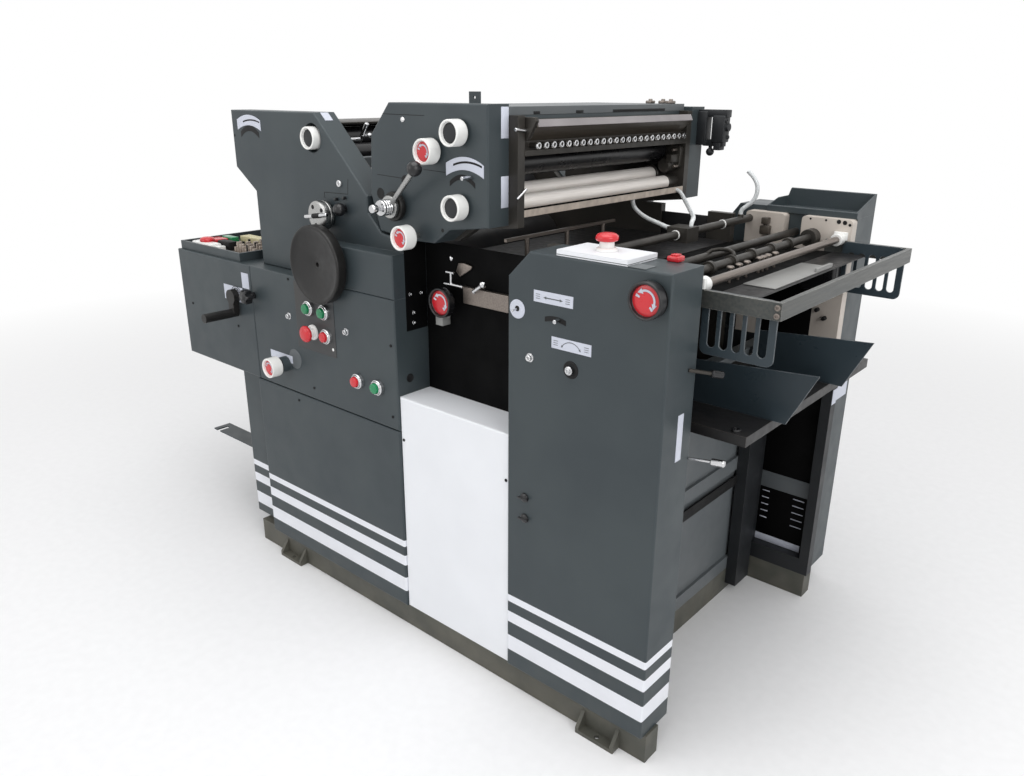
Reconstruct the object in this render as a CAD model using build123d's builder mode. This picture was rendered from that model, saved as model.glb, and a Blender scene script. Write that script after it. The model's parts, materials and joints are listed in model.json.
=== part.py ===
from build123d import *

import math
import os

os.makedirs("parts", exist_ok=True)

# Bag printing machine, millimetres, +Z up.
# Origin on the floor, at the centre of the four anchor holes.
# +X runs to the feeder end, -Y faces the operator.

# Base
base_length = 1349.0
base_right = 645.0
rail_width = 45.0
rail_height = 66.0
cross_width = 60.0
cross_panel_front = 470.0
anchor_spacing = 1070.0
anchor_reach = 12.0
anchor_hole_radius = 6.0
foot_length = 95.0
foot_reach = 24.0
foot_plate = 8.0
foot_rib = 8.0
foot_height = 46.0
foot_nose = 14.0

# Side frames
cover_standoff = 15.0
cover_depth = 100.0
frame_thickness = 20.0
frame_setback = 13.0
frame_inset = 12.0
frame_top_gap = 5.0
shelf_level = 890.0
neck_width = 60.0
neck_overlap = 30.0
end_panel_thickness = 20.0

# Levels of the covers
seam_level = 538.0
deck_level = 847.0
ledge_level = 945.0
sill_level = 622.0
cabinet_top = 1003.0
seam_gap = 2.0
seam_depth = 6.0

# Lengths of the covers, from the feeder end to the delivery
cabinet_setback = 5.0
cabinet_length = 353.0
access_length = 332.0
main_inset = 82.0
strip_length = 118.0
strip_recess = 25.0
strip_rise = 14.0
delivery_overlap = 12.0
delivery_length = 370.0
delivery_wall = 20.0
access_recess = 5.0
bend_radius = 4.0
cabinet_chamfer = 52.0

# Fits
running_clearance = 0.05
slide_clearance = 0.3
overrun = 5.0

# Upper units
unit_recess = 40.0
left_unit_inset = 16.0
left_unit_height = 383.0
far_unit_drop = 25.0
far_unit_depth = 60.0
ink_unit_left = -152.0
ink_unit_length = 352.0
ink_unit_floor = 975.0
ink_unit_height = 280.0
ink_plate_reach = 24.0
far_ink_drop = 12.0
far_neck_right = 166.0
left_unit_shares = [
    (0.126, 0.0), (1.0, 0.0), (1.0, 0.321), (0.879, 0.350), (0.813, 0.454), (0.813, 0.548),
    (0.5365, 1.0), (0.0, 1.0), (0.0, 0.634), (0.126, 0.488),
]
ink_unit_shares = [
    (0.077, 0.036), (0.375, 0.0), (0.56, 0.007), (0.69, 0.121), (1.0, 0.175), (1.0, 1.0),
    (0.199, 1.0), (0.028, 0.764), (0.0, 0.321),
]

# Knobs: axis along Y
knob_radius = 26.0
knob_length = 31.0
knob_wall = 5.0
knob_recess = 6.0
knob_standoff = 5.0
knob_shaft_radius = 6.0
knob_shaft_depth = 22.0
sunk_hole_margin = 7.0
sunk_depth = 20.0
left_knob_share = 0.52255
left_knob_z = 1174.0
ink_knob_x = 129.0
ink_top_knob_z = 1202.0
ink_low_knob_z = 1060.0
ink_side_knob_x = 53.0
ink_side_knob_z = 1164.0
ink_shaft_knob_x = -2.0
ink_shaft_knob_z = 989.0
ink_shaft_knob_standoff = 26.0
lower_knob_share = 0.24957
lower_knob_z = 609.0
lower_boss_radius = 20.0
lower_boss_length = 22.0
ring_knob_radius = 33.0
ring_knob_x = 603.0
ring_knob_drop = 46.0
ring_knob_length = 20.0
opening_knob_x = 38.0
opening_knob_z = 845.0
opening_knob_length = 40.0

# Handwheel
handwheel_share = 0.58752
handwheel_z = 897.0
handwheel_radius = 92.0
handwheel_rim = 9.0
handwheel_depth = 26.0
handwheel_plate = 6.0
handwheel_hub_radius = 20.0
handwheel_shaft_radius = 12.0
handwheel_gap = 8.0

# Chuck hub with its cross bar
chuck_share = 0.58942
chuck_z = 1004.0
chuck_radius = 34.0
chuck_length = 30.0
chuck_gap = 5.0
chuck_shaft_radius = 14.0
chuck_bar_radius = 5.0
chuck_bar_length = 84.0
chuck_bar_sink = 7.0

# Pressure lever
lever_x = -63.0
lever_z = 1045.0
lever_hub_radius = 30.0
lever_hub_length = 12.0
lever_gap = 5.0
lever_shaft_radius = 10.0
lever_nose_radius = 17.0
lever_nose_length = 36.0
lever_tip_radius = 8.0
lever_tip_length = 22.0
lever_reach_x = 118.0
lever_reach_z = 88.0
lever_width = 14.0
lever_thickness = 8.0
lever_ball_radius = 14.0

# Crank
crank_share = 0.79459
crank_z = 755.0
crank_hub_radius = 20.0
crank_hub_length = 16.0
crank_gap = 5.0
crank_shaft_radius = 8.0
crank_throw = 44.0
crank_arm_width = 24.0
crank_grip_radius = 12.0
crank_grip_length = 82.0

# Ink unit inside
roof_thickness = 16.0
roof_drop = 5.0
roof_left_inset = 76.0
fountain_lip = 13.0
fountain_depth = 45.0
fountain_height = 40.0
fountain_drop = 8.0
fountain_end_gap = 12.0
key_bar_depth = 13.0
key_bar_height = 28.0
key_lip_height = 11.0
key_lip_reach = 12.0
key_radius = 6.0
key_length = 22.0
key_count = 24
key_sides = 6
key_margin = 30.0
roller_radius = 17.0
roller_journal_radius = 9.0
roller_end_gap = 10.0
upper_roller_back = 74.0
upper_roller_z = 1082.0
lower_roller_back = 34.0
lower_roller_z = 1063.0
water_tray_depth = 75.0
water_tray_height = 14.0
water_tray_wall = 4.0
water_tray_floor_z = 1040.0
bracket_reach = 80.0
bracket_height = 97.0
bracket_floor_z = 1140.0
bracket_depth = 34.0

# Tag on top of the ink unit's cover
tag_left = 97.0
tag_width = 30.0
tag_rise = 22.0
tag_thickness = 3.0
tag_hole_radius = 3.0

# Cylinders between the frames
cylinder_radius = 70.0
cylinder_journal_radius = 20.0
cylinder_end_gap = 12.0
blanket_back = 79.0
blanket_drop = 124.0
tie_bar_share = 0.62675
tie_bar_z = 1130.0
tie_bar_width = 30.0
tie_bar_height = 24.0

# Feed board
board_left = -20.0
board_right = 360.0
board_level = 930.0
board_thickness = 15.0
hold_bar_x = 165.0
hold_bar_z = 982.0
hold_bar_size = 7.0
hold_bar_length = 396.0
hold_bar_gap = 10.0
hold_post_radius = 5.0
hold_post_spacing = 140.0
hold_post_count = 3
lay_bar_left = 79.0
lay_bar_length = 130.0
lay_bar_thickness = 10.0
lay_bar_height = 36.0
lay_bar_floor = 846.0

# Feeder
feeder_wall_thickness = 29.0
feeder_wall_reach = 5.0
table_level = 697.0
window_left = 485.0
window_right = 625.0
window_low = 110.0
window_high = 650.0
inner_plate_left = 378.0
notch_left = 477.0
notch_right = 520.0
notch_depth = 59.0
plate_round = 8.0
far_cabinet_depth = 109.0
far_shoulder_left = 316.0
far_shoulder_top = 346.0
far_shoulder_drop = 28.0
far_shoulder_rise = 12.0
cap_left = 420.0
cap_lip = 14.0
cap_back = 48.0
cap_wall = 4.0
cap_overhang = 6.0
cap_slope_run = 10.0
cap_slope_rise = 16.0
rod_radius = 9.0
rod_drop = 18.0
manifold_rod_x = 388.0
low_rod_radius = 9.0
low_rod_drop = 43.0
second_rod_x = 497.0
third_rod_x = 558.0
manifold_width = 50.0
manifold_length = 50.0
manifold_centre = 40.0
manifold_rise = 16.0
wheel_radius = 14.0
wheel_width = 10.0
wheel_spacing = 90.0
wheel_count = 5
arm_back = 585.0
front_bar_front = 775.0
arm_thickness = 8.0
arm_drop = 78.0
arm_height = 31.0
clamp_length = 30.0
silver_rod_x = 618.0
silver_rod_radius = 8.0
feed_plate_left = 608.0
feed_plate_length = 70.0
feed_plate_thickness = 4.0
slot_plate_left = 628.0
slot_plate_length = 139.0
slot_plate_drop = 85.0
slot_plate_thickness = 3.0
slot_count = 5
slot_width = 16.0
slot_margin = 14.0
slot_overlap = 8.0
panel_thickness = 30.0
panel_top_gap = 7.0
panel_recess = 8.0
panel_rail = 36.0
column_depth = 30.0
column_width = 76.0
column_floor = 20.0
table_back = 505.0
table_front = 727.0
table_width = 620.0
table_clearance = 26.0
table_flange = 20.0
table_sheet = 4.0
table_wall = 6.0
shoe_wall = 12.0
shoe_wrap = 20.0
shoe_length = 197.0
guide_near = -174.0
guide_spacing = 280.0
guide_thickness = 3.0
guide_height = 87.0
guide_tip_rise = 18.0
guide_back = 560.0
guide_low_front = 753.0
guide_top_front = 804.0

# Console tray and delivery strip
tray_inset = 4.0
tray_length = 305.0
tray_side_inset = 11.0
tray_height = 23.0
tray_wall = 6.0
tray_floor = 4.0
delivery_strip_length = 248.0
delivery_strip_width = 54.0
delivery_strip_level = 268.0
delivery_strip_thickness = 4.0
strip_notch_length = 34.0
strip_notch_width = 36.0

# Buttons
button_radius = 12.0
button_ring_radius = 15.0
button_ring_length = 12.0
button_cap_length = 8.0
stop_head_radius = 20.0
stop_head_height = 12.0
stop_stem_radius = 12.0
stop_stem_height = 18.0
panel_stop_share = 0.47314
panel_stop_z = 718.0
button_levels = {"upper": 778.0, "middle": 719.0, "lower": 631.5}
button_shares = [
    ("upper", 0.46274), ("upper", 0.56846), ("middle", 0.57366), ("lower", 0.76430), ("lower", 0.88908),
]
top_plate_left = 400.0
top_plate_length = 151.0
top_plate_width = 93.0
top_plate_height = 11.0
top_plate_inset = 2.0
tray_stop_share = 0.21622
tray_stop_inset = 40.0

# Hoses
hose_radius = 5.0
hose_bend_share = 0.45
air_nipple_radius = 7.0
air_nipple_rise = 14.0
air_nipple_y = 314.0
drain_hose_points = [
    (224.0, 283.0, 1047.0), (232.0, 283.0, 1047.0), (243.0, 279.0, 1045.0), (258.0, 266.0, 1039.0),
    (278.0, 242.0, 1031.0), (304.0, 206.0, 1026.0), (332.0, 166.0, 1022.0), (360.0, 126.0, 1019.0),
    (383.0, 91.0, 1019.0), (396.0, 68.0, 1020.0), (401.0, 56.0, 1016.0), (402.0, 50.0, 1008.0),
    (402.0, 50.0, 1001.0),
]
supply_hose_points = [
    (205.0, 116.0, 1040.0), (205.0, 116.0, 1034.0), (207.0, 115.0, 1027.0), (214.0, 110.0, 1020.0),
    (228.0, 101.0, 1014.0), (250.0, 87.0, 1008.0), (280.0, 69.0, 1003.0), (312.0, 54.0, 1000.0),
    (338.0, 44.0, 996.0), (351.0, 40.0, 994.0), (363.0, 40.0, 994.0),
]
air_hose_points = [
    (388.0, 314.0, 999.0), (388.0, 314.0, 1005.0), (391.0, 315.0, 1012.0), (399.0, 317.5, 1018.5),
    (409.0, 320.5, 1027.0), (417.0, 323.0, 1039.0), (420.5, 324.3, 1054.0), (419.0, 324.0, 1069.0),
    (412.5, 322.0, 1083.0), (403.0, 319.0, 1094.0), (395.0, 316.6, 1101.0),
]

# Places that follow from the sizes above
base_left = base_right - base_length
feeder_gap = table_width + 2 * table_clearance
press_gap = table_width
rail_inner = (feeder_gap + cover_depth + frame_thickness - rail_width - cover_standoff) / 2
rail_outer = rail_inner + rail_width
anchor_y = rail_outer + anchor_reach
cover_front = -(rail_outer + cover_standoff)
near_frame_outer = cover_front + cover_depth
near_frame_inner = near_frame_outer + frame_thickness
far_frame_inner = near_frame_inner + press_gap
far_frame_outer = far_frame_inner + frame_thickness
far_cover_outer = rail_outer + cover_standoff
unit_front = cover_front + unit_recess
far_unit_outer = far_frame_outer + far_unit_depth

cabinet_right = base_right - cabinet_setback
cabinet_left = cabinet_right - cabinet_length
access_left = cabinet_left - access_length
main_left = base_left + main_inset
strip_left = main_left - strip_length
delivery_right = main_left + delivery_overlap
delivery_left = delivery_right - delivery_length
frame_right = cabinet_right - frame_setback
frame_feeder_top = cabinet_top - frame_top_gap
ring_knob_z = cabinet_top - ring_knob_drop
notch_level = cabinet_top - notch_depth
far_shoulder_level = cabinet_top - far_shoulder_drop
rod_level = cabinet_top - rod_drop
low_rod_level = cabinet_top - low_rod_drop
arm_low = cabinet_top - arm_drop
slot_plate_low = arm_low - slot_plate_drop
left_unit_left = base_left + left_unit_inset
left_unit_length = access_left - left_unit_left
main_length = access_left - main_left
handwheel_x = main_left + handwheel_share * main_length
lower_knob_x = main_left + lower_knob_share * main_length
panel_stop_x = main_left + panel_stop_share * main_length
left_knob_x = left_unit_left + left_knob_share * left_unit_length
chuck_x = left_unit_left + chuck_share * left_unit_length
tie_bar_x = left_unit_left + tie_bar_share * left_unit_length
crank_x = delivery_left + crank_share * delivery_length
tray_stop_x = delivery_left + tray_stop_share * delivery_length
ink_unit_right = ink_unit_left + ink_unit_length
ink_frame_right = ink_unit_right + ink_plate_reach
ink_unit_top = ink_unit_floor + ink_unit_height

feeder_wall_inner = rail_inner
feeder_wall_outer = feeder_wall_inner + feeder_wall_thickness
feeder_wall_right = base_right + feeder_wall_reach
far_cabinet_outer = feeder_wall_outer + far_cabinet_depth
panel_top = table_level - panel_top_gap
table_centre = (near_frame_inner + feeder_wall_inner) / 2
column_offset = (table_width - column_width) / 2
arm_top = arm_low + arm_height
near_arm_inner = near_frame_inner + arm_thickness
far_arm_inner = feeder_wall_inner - arm_thickness


def slab(x_low, x_high, y_low, y_high, z_low, z_high):
    """A block between two corners."""
    with BuildPart() as piece:
        with BuildSketch(Plane.XY.offset(z_low)):
            with Locations(((x_low + x_high) / 2, (y_low + y_high) / 2)):
                Rectangle(x_high - x_low, y_high - y_low)
        extrude(amount=z_high - z_low)
    return piece.part


def side_plate(points, y_low, y_high):
    """A plate with an outline in X and Z, lying between two places along Y."""
    with BuildPart() as piece:
        with BuildSketch(Plane.XZ.offset(-y_high)):
            with BuildLine():
                Polyline(*points, close=True)
            make_face()
        extrude(amount=y_high - y_low)
    return piece.part


def rod(x, z, radius, y_low, y_high):
    """A round bar along Y."""
    with BuildPart() as piece:
        with BuildSketch(Plane.XZ.offset(-y_high)):
            with Locations((x, z)):
                Circle(radius)
        extrude(amount=y_high - y_low)
    return piece.part


def post(x, y, radius, z_low, z_high):
    """A round bar along Z."""
    with BuildPart() as piece:
        with BuildSketch(Plane.XY.offset(z_low)):
            with Locations((x, y)):
                Circle(radius)
        extrude(amount=z_high - z_low)
    return piece.part


def placed(x_low, z_low, width, height, shares):
    """An outline given in shares of its width and height."""
    return [(x_low + width * share_x, z_low + height * share_z) for share_x, share_z in shares]


def turned(profile, x, z, y_front):
    """A piece turned about an axis along Y; the profile gives radius and distance behind its front."""
    axle = Plane(origin=(x, y_front, z), x_dir=(1, 0, 0), z_dir=(0, 0, 1))
    with BuildPart() as piece:
        with BuildSketch(axle):
            with BuildLine():
                Polyline(*profile, close=True)
            make_face()
        revolve(axis=Axis((x, y_front, z), (0, 1, 0)))
    return piece.part


def save(piece, name):
    """Label a finished piece and write it."""
    piece.part.label = name
    export_step(piece.part, f"parts/{name}.step")


# Welded base: a rail on each side and cross members between them
cross_rights = [
    base_left + cross_width,
    (base_left + cross_panel_front) / 2,
    cross_panel_front,
]
with BuildPart() as base_frame:
    add(slab(base_left, base_right, -rail_outer, -rail_inner, 0, rail_height))
    add(slab(base_left, base_right, rail_inner, rail_outer, 0, rail_height))
    for cross_right in cross_rights:
        add(slab(cross_right - cross_width, cross_right, -rail_inner, rail_inner, 0, rail_height))
save(base_frame, "base_frame")


def anchor_foot(x, side):
    """A channel foot on the rail's outer face, with its anchor hole."""
    face = side * rail_outer
    tip = side * (rail_outer + foot_reach)
    left = x - foot_length / 2
    right = x + foot_length / 2
    with BuildPart() as foot:
        add(slab(left, right, min(face, tip), max(face, tip), 0, foot_plate))
        with BuildSketch(Plane.YZ.offset(left)) as rib:
            with BuildLine():
                Polyline((face, 0), (tip, 0), (tip, foot_nose), (face, foot_height), close=True)
            make_face()
        extrude(amount=foot_rib)
        extrude(rib.sketch.moved(Location((foot_length - foot_rib, 0, 0))), amount=foot_rib)
        with BuildSketch(Plane.XY):
            with Locations((x, side * anchor_y)):
                Circle(anchor_hole_radius)
        extrude(amount=foot_plate, mode=Mode.SUBTRACT)
    return foot.part


with BuildPart() as anchor_feet:
    for side in (-1, 1):
        for foot_x in (-anchor_spacing / 2, anchor_spacing / 2):
            add(anchor_foot(foot_x, side))
save(anchor_feet, "anchor_feet")

left_outline = placed(left_unit_left, deck_level, left_unit_length, left_unit_height, left_unit_shares)
ink_outline = placed(ink_unit_left, ink_unit_floor, ink_unit_length, ink_unit_height, ink_unit_shares)
far_left_outline = placed(
    left_unit_left, deck_level, left_unit_length, left_unit_height - far_unit_drop, left_unit_shares
)
far_ink_outline = placed(
    ink_unit_left,
    ink_unit_floor,
    ink_unit_length + ink_plate_reach,
    ink_unit_height - far_ink_drop,
    ink_unit_shares,
)
frame_left_outline = placed(
    left_unit_left + frame_inset,
    deck_level,
    left_unit_length - frame_inset,
    left_unit_height - far_unit_drop - frame_inset,
    left_unit_shares,
)
frame_ink_outline = placed(
    ink_unit_left,
    ink_unit_floor,
    ink_unit_length + ink_plate_reach,
    ink_unit_height - roof_drop - roof_thickness,
    ink_unit_shares,
)
frame_feeder_left = cabinet_left + frame_setback


def side_frame(y_low, y_high, feeder_right, neck_right):
    """A press side frame: a lower plate, two towers and the shoulder at the feeder."""
    with BuildPart() as frame:
        add(slab(base_left, feeder_right, y_low, y_high, rail_height, deck_level))
        add(slab(access_left, feeder_right, y_low, y_high, deck_level, shelf_level))
        add(slab(frame_feeder_left, feeder_right, y_low, y_high, shelf_level, frame_feeder_top))
        add(side_plate(frame_left_outline, y_low, y_high))
        add(side_plate(frame_ink_outline, y_low, y_high))
        neck_left = access_left - neck_width
        add(slab(neck_left, neck_right, y_low, y_high, deck_level, ink_unit_floor + neck_overlap))
    return frame


near_side_frame = side_frame(near_frame_outer, near_frame_inner, frame_right, access_left)
with BuildPart() as near_frame:
    add(near_side_frame.part)
    add(
        rod(
            opening_knob_x,
            opening_knob_z,
            knob_shaft_radius + running_clearance,
            near_frame_outer - overrun,
            near_frame_inner + overrun,
        ),
        mode=Mode.SUBTRACT,
    )
save(near_frame, "near_side_frame")

far_side_frame = side_frame(far_frame_inner, far_frame_outer, board_right + overrun, far_neck_right)
save(far_side_frame, "far_side_frame")

# Plate that closes the delivery end between the frames
with BuildPart() as end_panel:
    add(
        slab(
            base_left,
            base_left + end_panel_thickness,
            near_frame_inner,
            far_frame_inner,
            rail_height,
            deck_level,
        )
    )
save(end_panel, "end_panel")


def cover(x_low, x_high, y_low, y_high, z_low, z_high):
    """A folded cover with a bend round its outer face."""
    with BuildPart() as piece:
        add(slab(x_low, x_high, y_low, y_high, z_low, z_high))
        fillet(piece.faces().sort_by(Axis.Y)[0].edges(), bend_radius)
    return piece


def bore(x, z, radius, y_low, y_high):
    """A running bore along Y, cut a little past its mouth."""
    return rod(x, z, radius + running_clearance, y_low - overrun, y_high)


# Covers on the operator's side
near_lower_cover = cover(
    main_left, access_left, cover_front, near_frame_outer, rail_height, seam_level - seam_gap
)
save(near_lower_cover, "near_lower_cover")

middle_body = cover(
    delivery_right, access_left, cover_front, near_frame_outer, seam_level, deck_level
)
with BuildPart() as near_middle_cover:
    add(middle_body.part)
    add(rod(lower_knob_x, lower_knob_z, lower_boss_radius, cover_front - lower_boss_length, cover_front))
    add(
        bore(
            lower_knob_x,
            lower_knob_z,
            knob_shaft_radius,
            cover_front - lower_boss_length,
            cover_front + knob_shaft_depth,
        ),
        mode=Mode.SUBTRACT,
    )
save(near_middle_cover, "near_middle_cover")

end_strip_body = cover(
    strip_left,
    main_left,
    cover_front + strip_recess,
    near_frame_outer,
    rail_height + strip_rise,
    seam_level - seam_gap,
)
delivery_strip_tip = strip_left - delivery_strip_length
delivery_strip_front = near_frame_outer - delivery_strip_width
strip_notch_left = delivery_strip_tip + strip_notch_length / 2
with BuildPart() as end_strip_cover:
    add(end_strip_body.part)
    add(
        slab(
            delivery_strip_tip,
            strip_left,
            delivery_strip_front,
            near_frame_outer,
            delivery_strip_level,
            delivery_strip_level + delivery_strip_thickness,
        )
    )
    add(
        slab(
            strip_notch_left,
            strip_notch_left + strip_notch_length / 2,
            delivery_strip_front - overrun,
            delivery_strip_front + strip_notch_width,
            delivery_strip_level - overrun,
            delivery_strip_level + delivery_strip_thickness + overrun,
        ),
        mode=Mode.SUBTRACT,
    )
save(end_strip_cover, "end_strip_cover")

access_cover = cover(
    access_left, cabinet_left, cover_front + access_recess, near_frame_outer, rail_height, sill_level
)
save(access_cover, "access_cover")

with BuildPart() as near_feeder_cabinet:
    add(
        side_plate(
            [
                (cabinet_left, rail_height),
                (cabinet_right, rail_height),
                (cabinet_right, cabinet_top),
                (cabinet_left + cabinet_chamfer, cabinet_top),
                (cabinet_left, cabinet_top - cabinet_chamfer),
            ],
            cover_front,
            near_frame_outer,
        )
    )
    fillet(near_feeder_cabinet.faces().sort_by(Axis.Y)[0].edges(), bend_radius)
    add(
        bore(ring_knob_x, ring_knob_z, knob_shaft_radius, cover_front, cover_front + knob_shaft_depth),
        mode=Mode.SUBTRACT,
    )
save(near_feeder_cabinet, "near_feeder_cabinet")

top_plate_front = cover_front + top_plate_inset
with BuildPart() as top_control_plate:
    add(
        slab(
            top_plate_left,
            top_plate_left + top_plate_length,
            top_plate_front,
            top_plate_front + top_plate_width,
            cabinet_top,
            cabinet_top + top_plate_height,
        )
    )
save(top_control_plate, "top_control_plate")

# Cover on the far side, with its seam
with BuildPart() as far_cover:
    add(slab(base_left, cabinet_left, far_frame_outer, far_cover_outer, rail_height, deck_level))
    fillet(far_cover.faces().sort_by(Axis.Y)[-1].edges(), bend_radius)
    add(
        slab(
            base_left - overrun,
            cabinet_left + overrun,
            far_cover_outer - seam_depth,
            far_cover_outer + overrun,
            seam_level - seam_gap,
            seam_level,
        ),
        mode=Mode.SUBTRACT,
    )
save(far_cover, "far_cover")

# Delivery box
delivery_body = cover(
    delivery_left, delivery_right, cover_front, near_frame_outer, seam_level, deck_level
)
with BuildPart() as near_delivery_cover:
    add(delivery_body.part)
    add(
        bore(crank_x, crank_z, crank_shaft_radius, cover_front, cover_front + knob_shaft_depth),
        mode=Mode.SUBTRACT,
    )
save(near_delivery_cover, "near_delivery_cover")

with BuildPart() as far_delivery_cover:
    add(slab(delivery_left, base_left, far_frame_outer, far_cover_outer, seam_level, deck_level))
    fillet(far_delivery_cover.faces().sort_by(Axis.Y)[-1].edges(), bend_radius)
save(far_delivery_cover, "far_delivery_cover")

with BuildPart() as delivery_end_panel:
    add(
        slab(
            delivery_left,
            delivery_left + delivery_wall,
            near_frame_outer,
            far_frame_outer,
            seam_level,
            deck_level,
        )
    )
save(delivery_end_panel, "delivery_end_panel")

# Delivery deck with its shallow tray
tray_left = delivery_left + tray_inset
tray_right = tray_left + tray_length
tray_front = cover_front + tray_side_inset
tray_rear = far_cover_outer - tray_side_inset
with BuildPart() as delivery_deck:
    add(
        slab(
            delivery_left + delivery_wall,
            base_left,
            near_frame_outer,
            far_frame_outer,
            deck_level - delivery_wall,
            deck_level,
        )
    )
    add(slab(tray_left, tray_right, tray_front, tray_rear, deck_level, deck_level + tray_height))
    add(
        slab(
            tray_left + tray_wall,
            tray_right - tray_wall,
            tray_front + tray_wall,
            tray_rear - tray_wall,
            deck_level + tray_floor,
            deck_level + tray_height + overrun,
        ),
        mode=Mode.SUBTRACT,
    )
save(delivery_deck, "delivery_deck")

# Left unit: covers on both sides
ledge_left = handwheel_x - handwheel_radius / 2
with BuildPart() as left_unit_near_cover:
    add(side_plate(left_outline, unit_front, near_frame_outer))
    fillet(left_unit_near_cover.faces().sort_by(Axis.Y)[0].edges(), bend_radius)
    add(slab(ledge_left, access_left, cover_front, unit_front, deck_level, ledge_level))
    fillet(left_unit_near_cover.faces().sort_by(Axis.Y)[0].edges(), bend_radius)
    add(
        rod(
            left_knob_x,
            left_knob_z,
            knob_radius + sunk_hole_margin,
            unit_front - overrun,
            unit_front + sunk_depth,
        ),
        mode=Mode.SUBTRACT,
    )
    add(
        bore(
            left_knob_x,
            left_knob_z,
            knob_shaft_radius,
            unit_front,
            unit_front + sunk_depth + knob_shaft_depth,
        ),
        mode=Mode.SUBTRACT,
    )
    add(
        bore(chuck_x, chuck_z, chuck_shaft_radius, unit_front, unit_front + knob_shaft_depth),
        mode=Mode.SUBTRACT,
    )
    add(
        bore(handwheel_x, handwheel_z, handwheel_shaft_radius, cover_front, unit_front + knob_shaft_depth),
        mode=Mode.SUBTRACT,
    )
save(left_unit_near_cover, "left_unit_near_cover")

# Ink unit: covers, roof and what shows in its open end
with BuildPart() as ink_unit_near_cover:
    add(side_plate(ink_outline, unit_front, near_frame_outer))
    fillet(ink_unit_near_cover.faces().sort_by(Axis.Y)[0].edges(), bend_radius)
    ink_shaft_places = [
        (ink_knob_x, ink_top_knob_z),
        (ink_side_knob_x, ink_side_knob_z),
        (ink_knob_x, ink_low_knob_z),
        (ink_shaft_knob_x, ink_shaft_knob_z),
    ]
    for shaft_x, shaft_z in ink_shaft_places:
        add(
            bore(shaft_x, shaft_z, knob_shaft_radius, unit_front, unit_front + knob_shaft_depth),
            mode=Mode.SUBTRACT,
        )
    add(
        bore(lever_x, lever_z, lever_shaft_radius, unit_front, unit_front + knob_shaft_depth),
        mode=Mode.SUBTRACT,
    )
    add(
        slab(
            tag_left,
            tag_left + tag_width,
            near_frame_outer - tag_thickness,
            near_frame_outer,
            ink_unit_top,
            ink_unit_top + tag_rise,
        )
    )
    add(
        rod(
            tag_left + tag_width / 2,
            ink_unit_top + tag_rise / 2,
            tag_hole_radius,
            near_frame_outer - tag_thickness - overrun,
            near_frame_outer + overrun,
        ),
        mode=Mode.SUBTRACT,
    )
save(ink_unit_near_cover, "ink_unit_near_cover")

with BuildPart() as far_unit_covers:
    add(side_plate(far_left_outline, far_frame_outer, far_unit_outer))
    add(side_plate(far_ink_outline, far_frame_outer, far_unit_outer))
save(far_unit_covers, "far_unit_covers")

roof_level = ink_unit_top - roof_drop
with BuildPart() as roof_and_tie:
    add(
        slab(
            tie_bar_x - tie_bar_width / 2,
            tie_bar_x + tie_bar_width / 2,
            near_frame_inner,
            far_frame_inner,
            tie_bar_z - tie_bar_height,
            tie_bar_z,
        )
    )
    add(
        slab(
            ink_unit_left + roof_left_inset,
            ink_unit_right,
            near_frame_outer,
            far_frame_outer,
            roof_level - roof_thickness,
            roof_level,
        )
    )
save(roof_and_tie, "roof_and_tie")

fountain_floor = roof_level - roof_thickness - fountain_drop - fountain_height
fountain_right = ink_unit_right + fountain_depth
with BuildPart() as ink_fountain:
    add(
        side_plate(
            [
                (ink_unit_right, fountain_floor),
                (ink_unit_right + fountain_lip, fountain_floor),
                (fountain_right, fountain_floor + fountain_height - fountain_lip),
                (fountain_right - fountain_lip / 2, fountain_floor + fountain_height),
                (ink_unit_right, fountain_floor + fountain_height),
            ],
            near_frame_inner + fountain_end_gap,
            far_frame_inner - fountain_end_gap,
        )
    )
save(ink_fountain, "ink_fountain")

key_face = ink_unit_right + key_bar_depth
key_floor = fountain_floor - key_bar_height
key_axis_z = key_floor + (key_bar_height + key_lip_height) / 2
key_first = near_frame_inner + key_margin
key_pitch = (press_gap - 2 * key_margin) / (key_count - 1)
with BuildPart() as ink_key_bar:
    add(slab(ink_unit_right, key_face, near_frame_inner, far_frame_inner, key_floor, fountain_floor))
    add(
        slab(
            key_face,
            key_face + key_lip_reach,
            near_frame_inner,
            far_frame_inner,
            key_floor,
            key_floor + key_lip_height,
        )
    )
    with BuildSketch(Plane.YZ.offset(key_face)):
        for key in range(key_count):
            with Locations((key_first + key * key_pitch, key_axis_z)):
                RegularPolygon(key_radius, key_sides)
    extrude(amount=key_length)
save(ink_key_bar, "ink_key_bar")


def journal_roller(x, z, radius, journal_radius, end_gap):
    """A roller between the side frames, with a journal at each end."""
    with BuildPart() as roller:
        add(rod(x, z, radius, near_frame_inner + end_gap, far_frame_inner - end_gap))
        add(rod(x, z, journal_radius, near_frame_inner, far_frame_inner))
    return roller.part


# Ink rollers, plate cylinder and blanket cylinder
with BuildPart() as rollers:
    add(
        journal_roller(
            ink_frame_right - upper_roller_back,
            upper_roller_z,
            roller_radius,
            roller_journal_radius,
            roller_end_gap,
        )
    )
    add(
        journal_roller(
            ink_frame_right - lower_roller_back,
            lower_roller_z,
            roller_radius,
            roller_journal_radius,
            roller_end_gap,
        )
    )

    add(journal_roller(chuck_x, chuck_z, cylinder_radius, cylinder_journal_radius, cylinder_end_gap))
    add(
        journal_roller(
            chuck_x + blanket_back,
            chuck_z - blanket_drop,
            cylinder_radius,
            cylinder_journal_radius,
            cylinder_end_gap,
        )
    )
save(rollers, "rollers")

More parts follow.
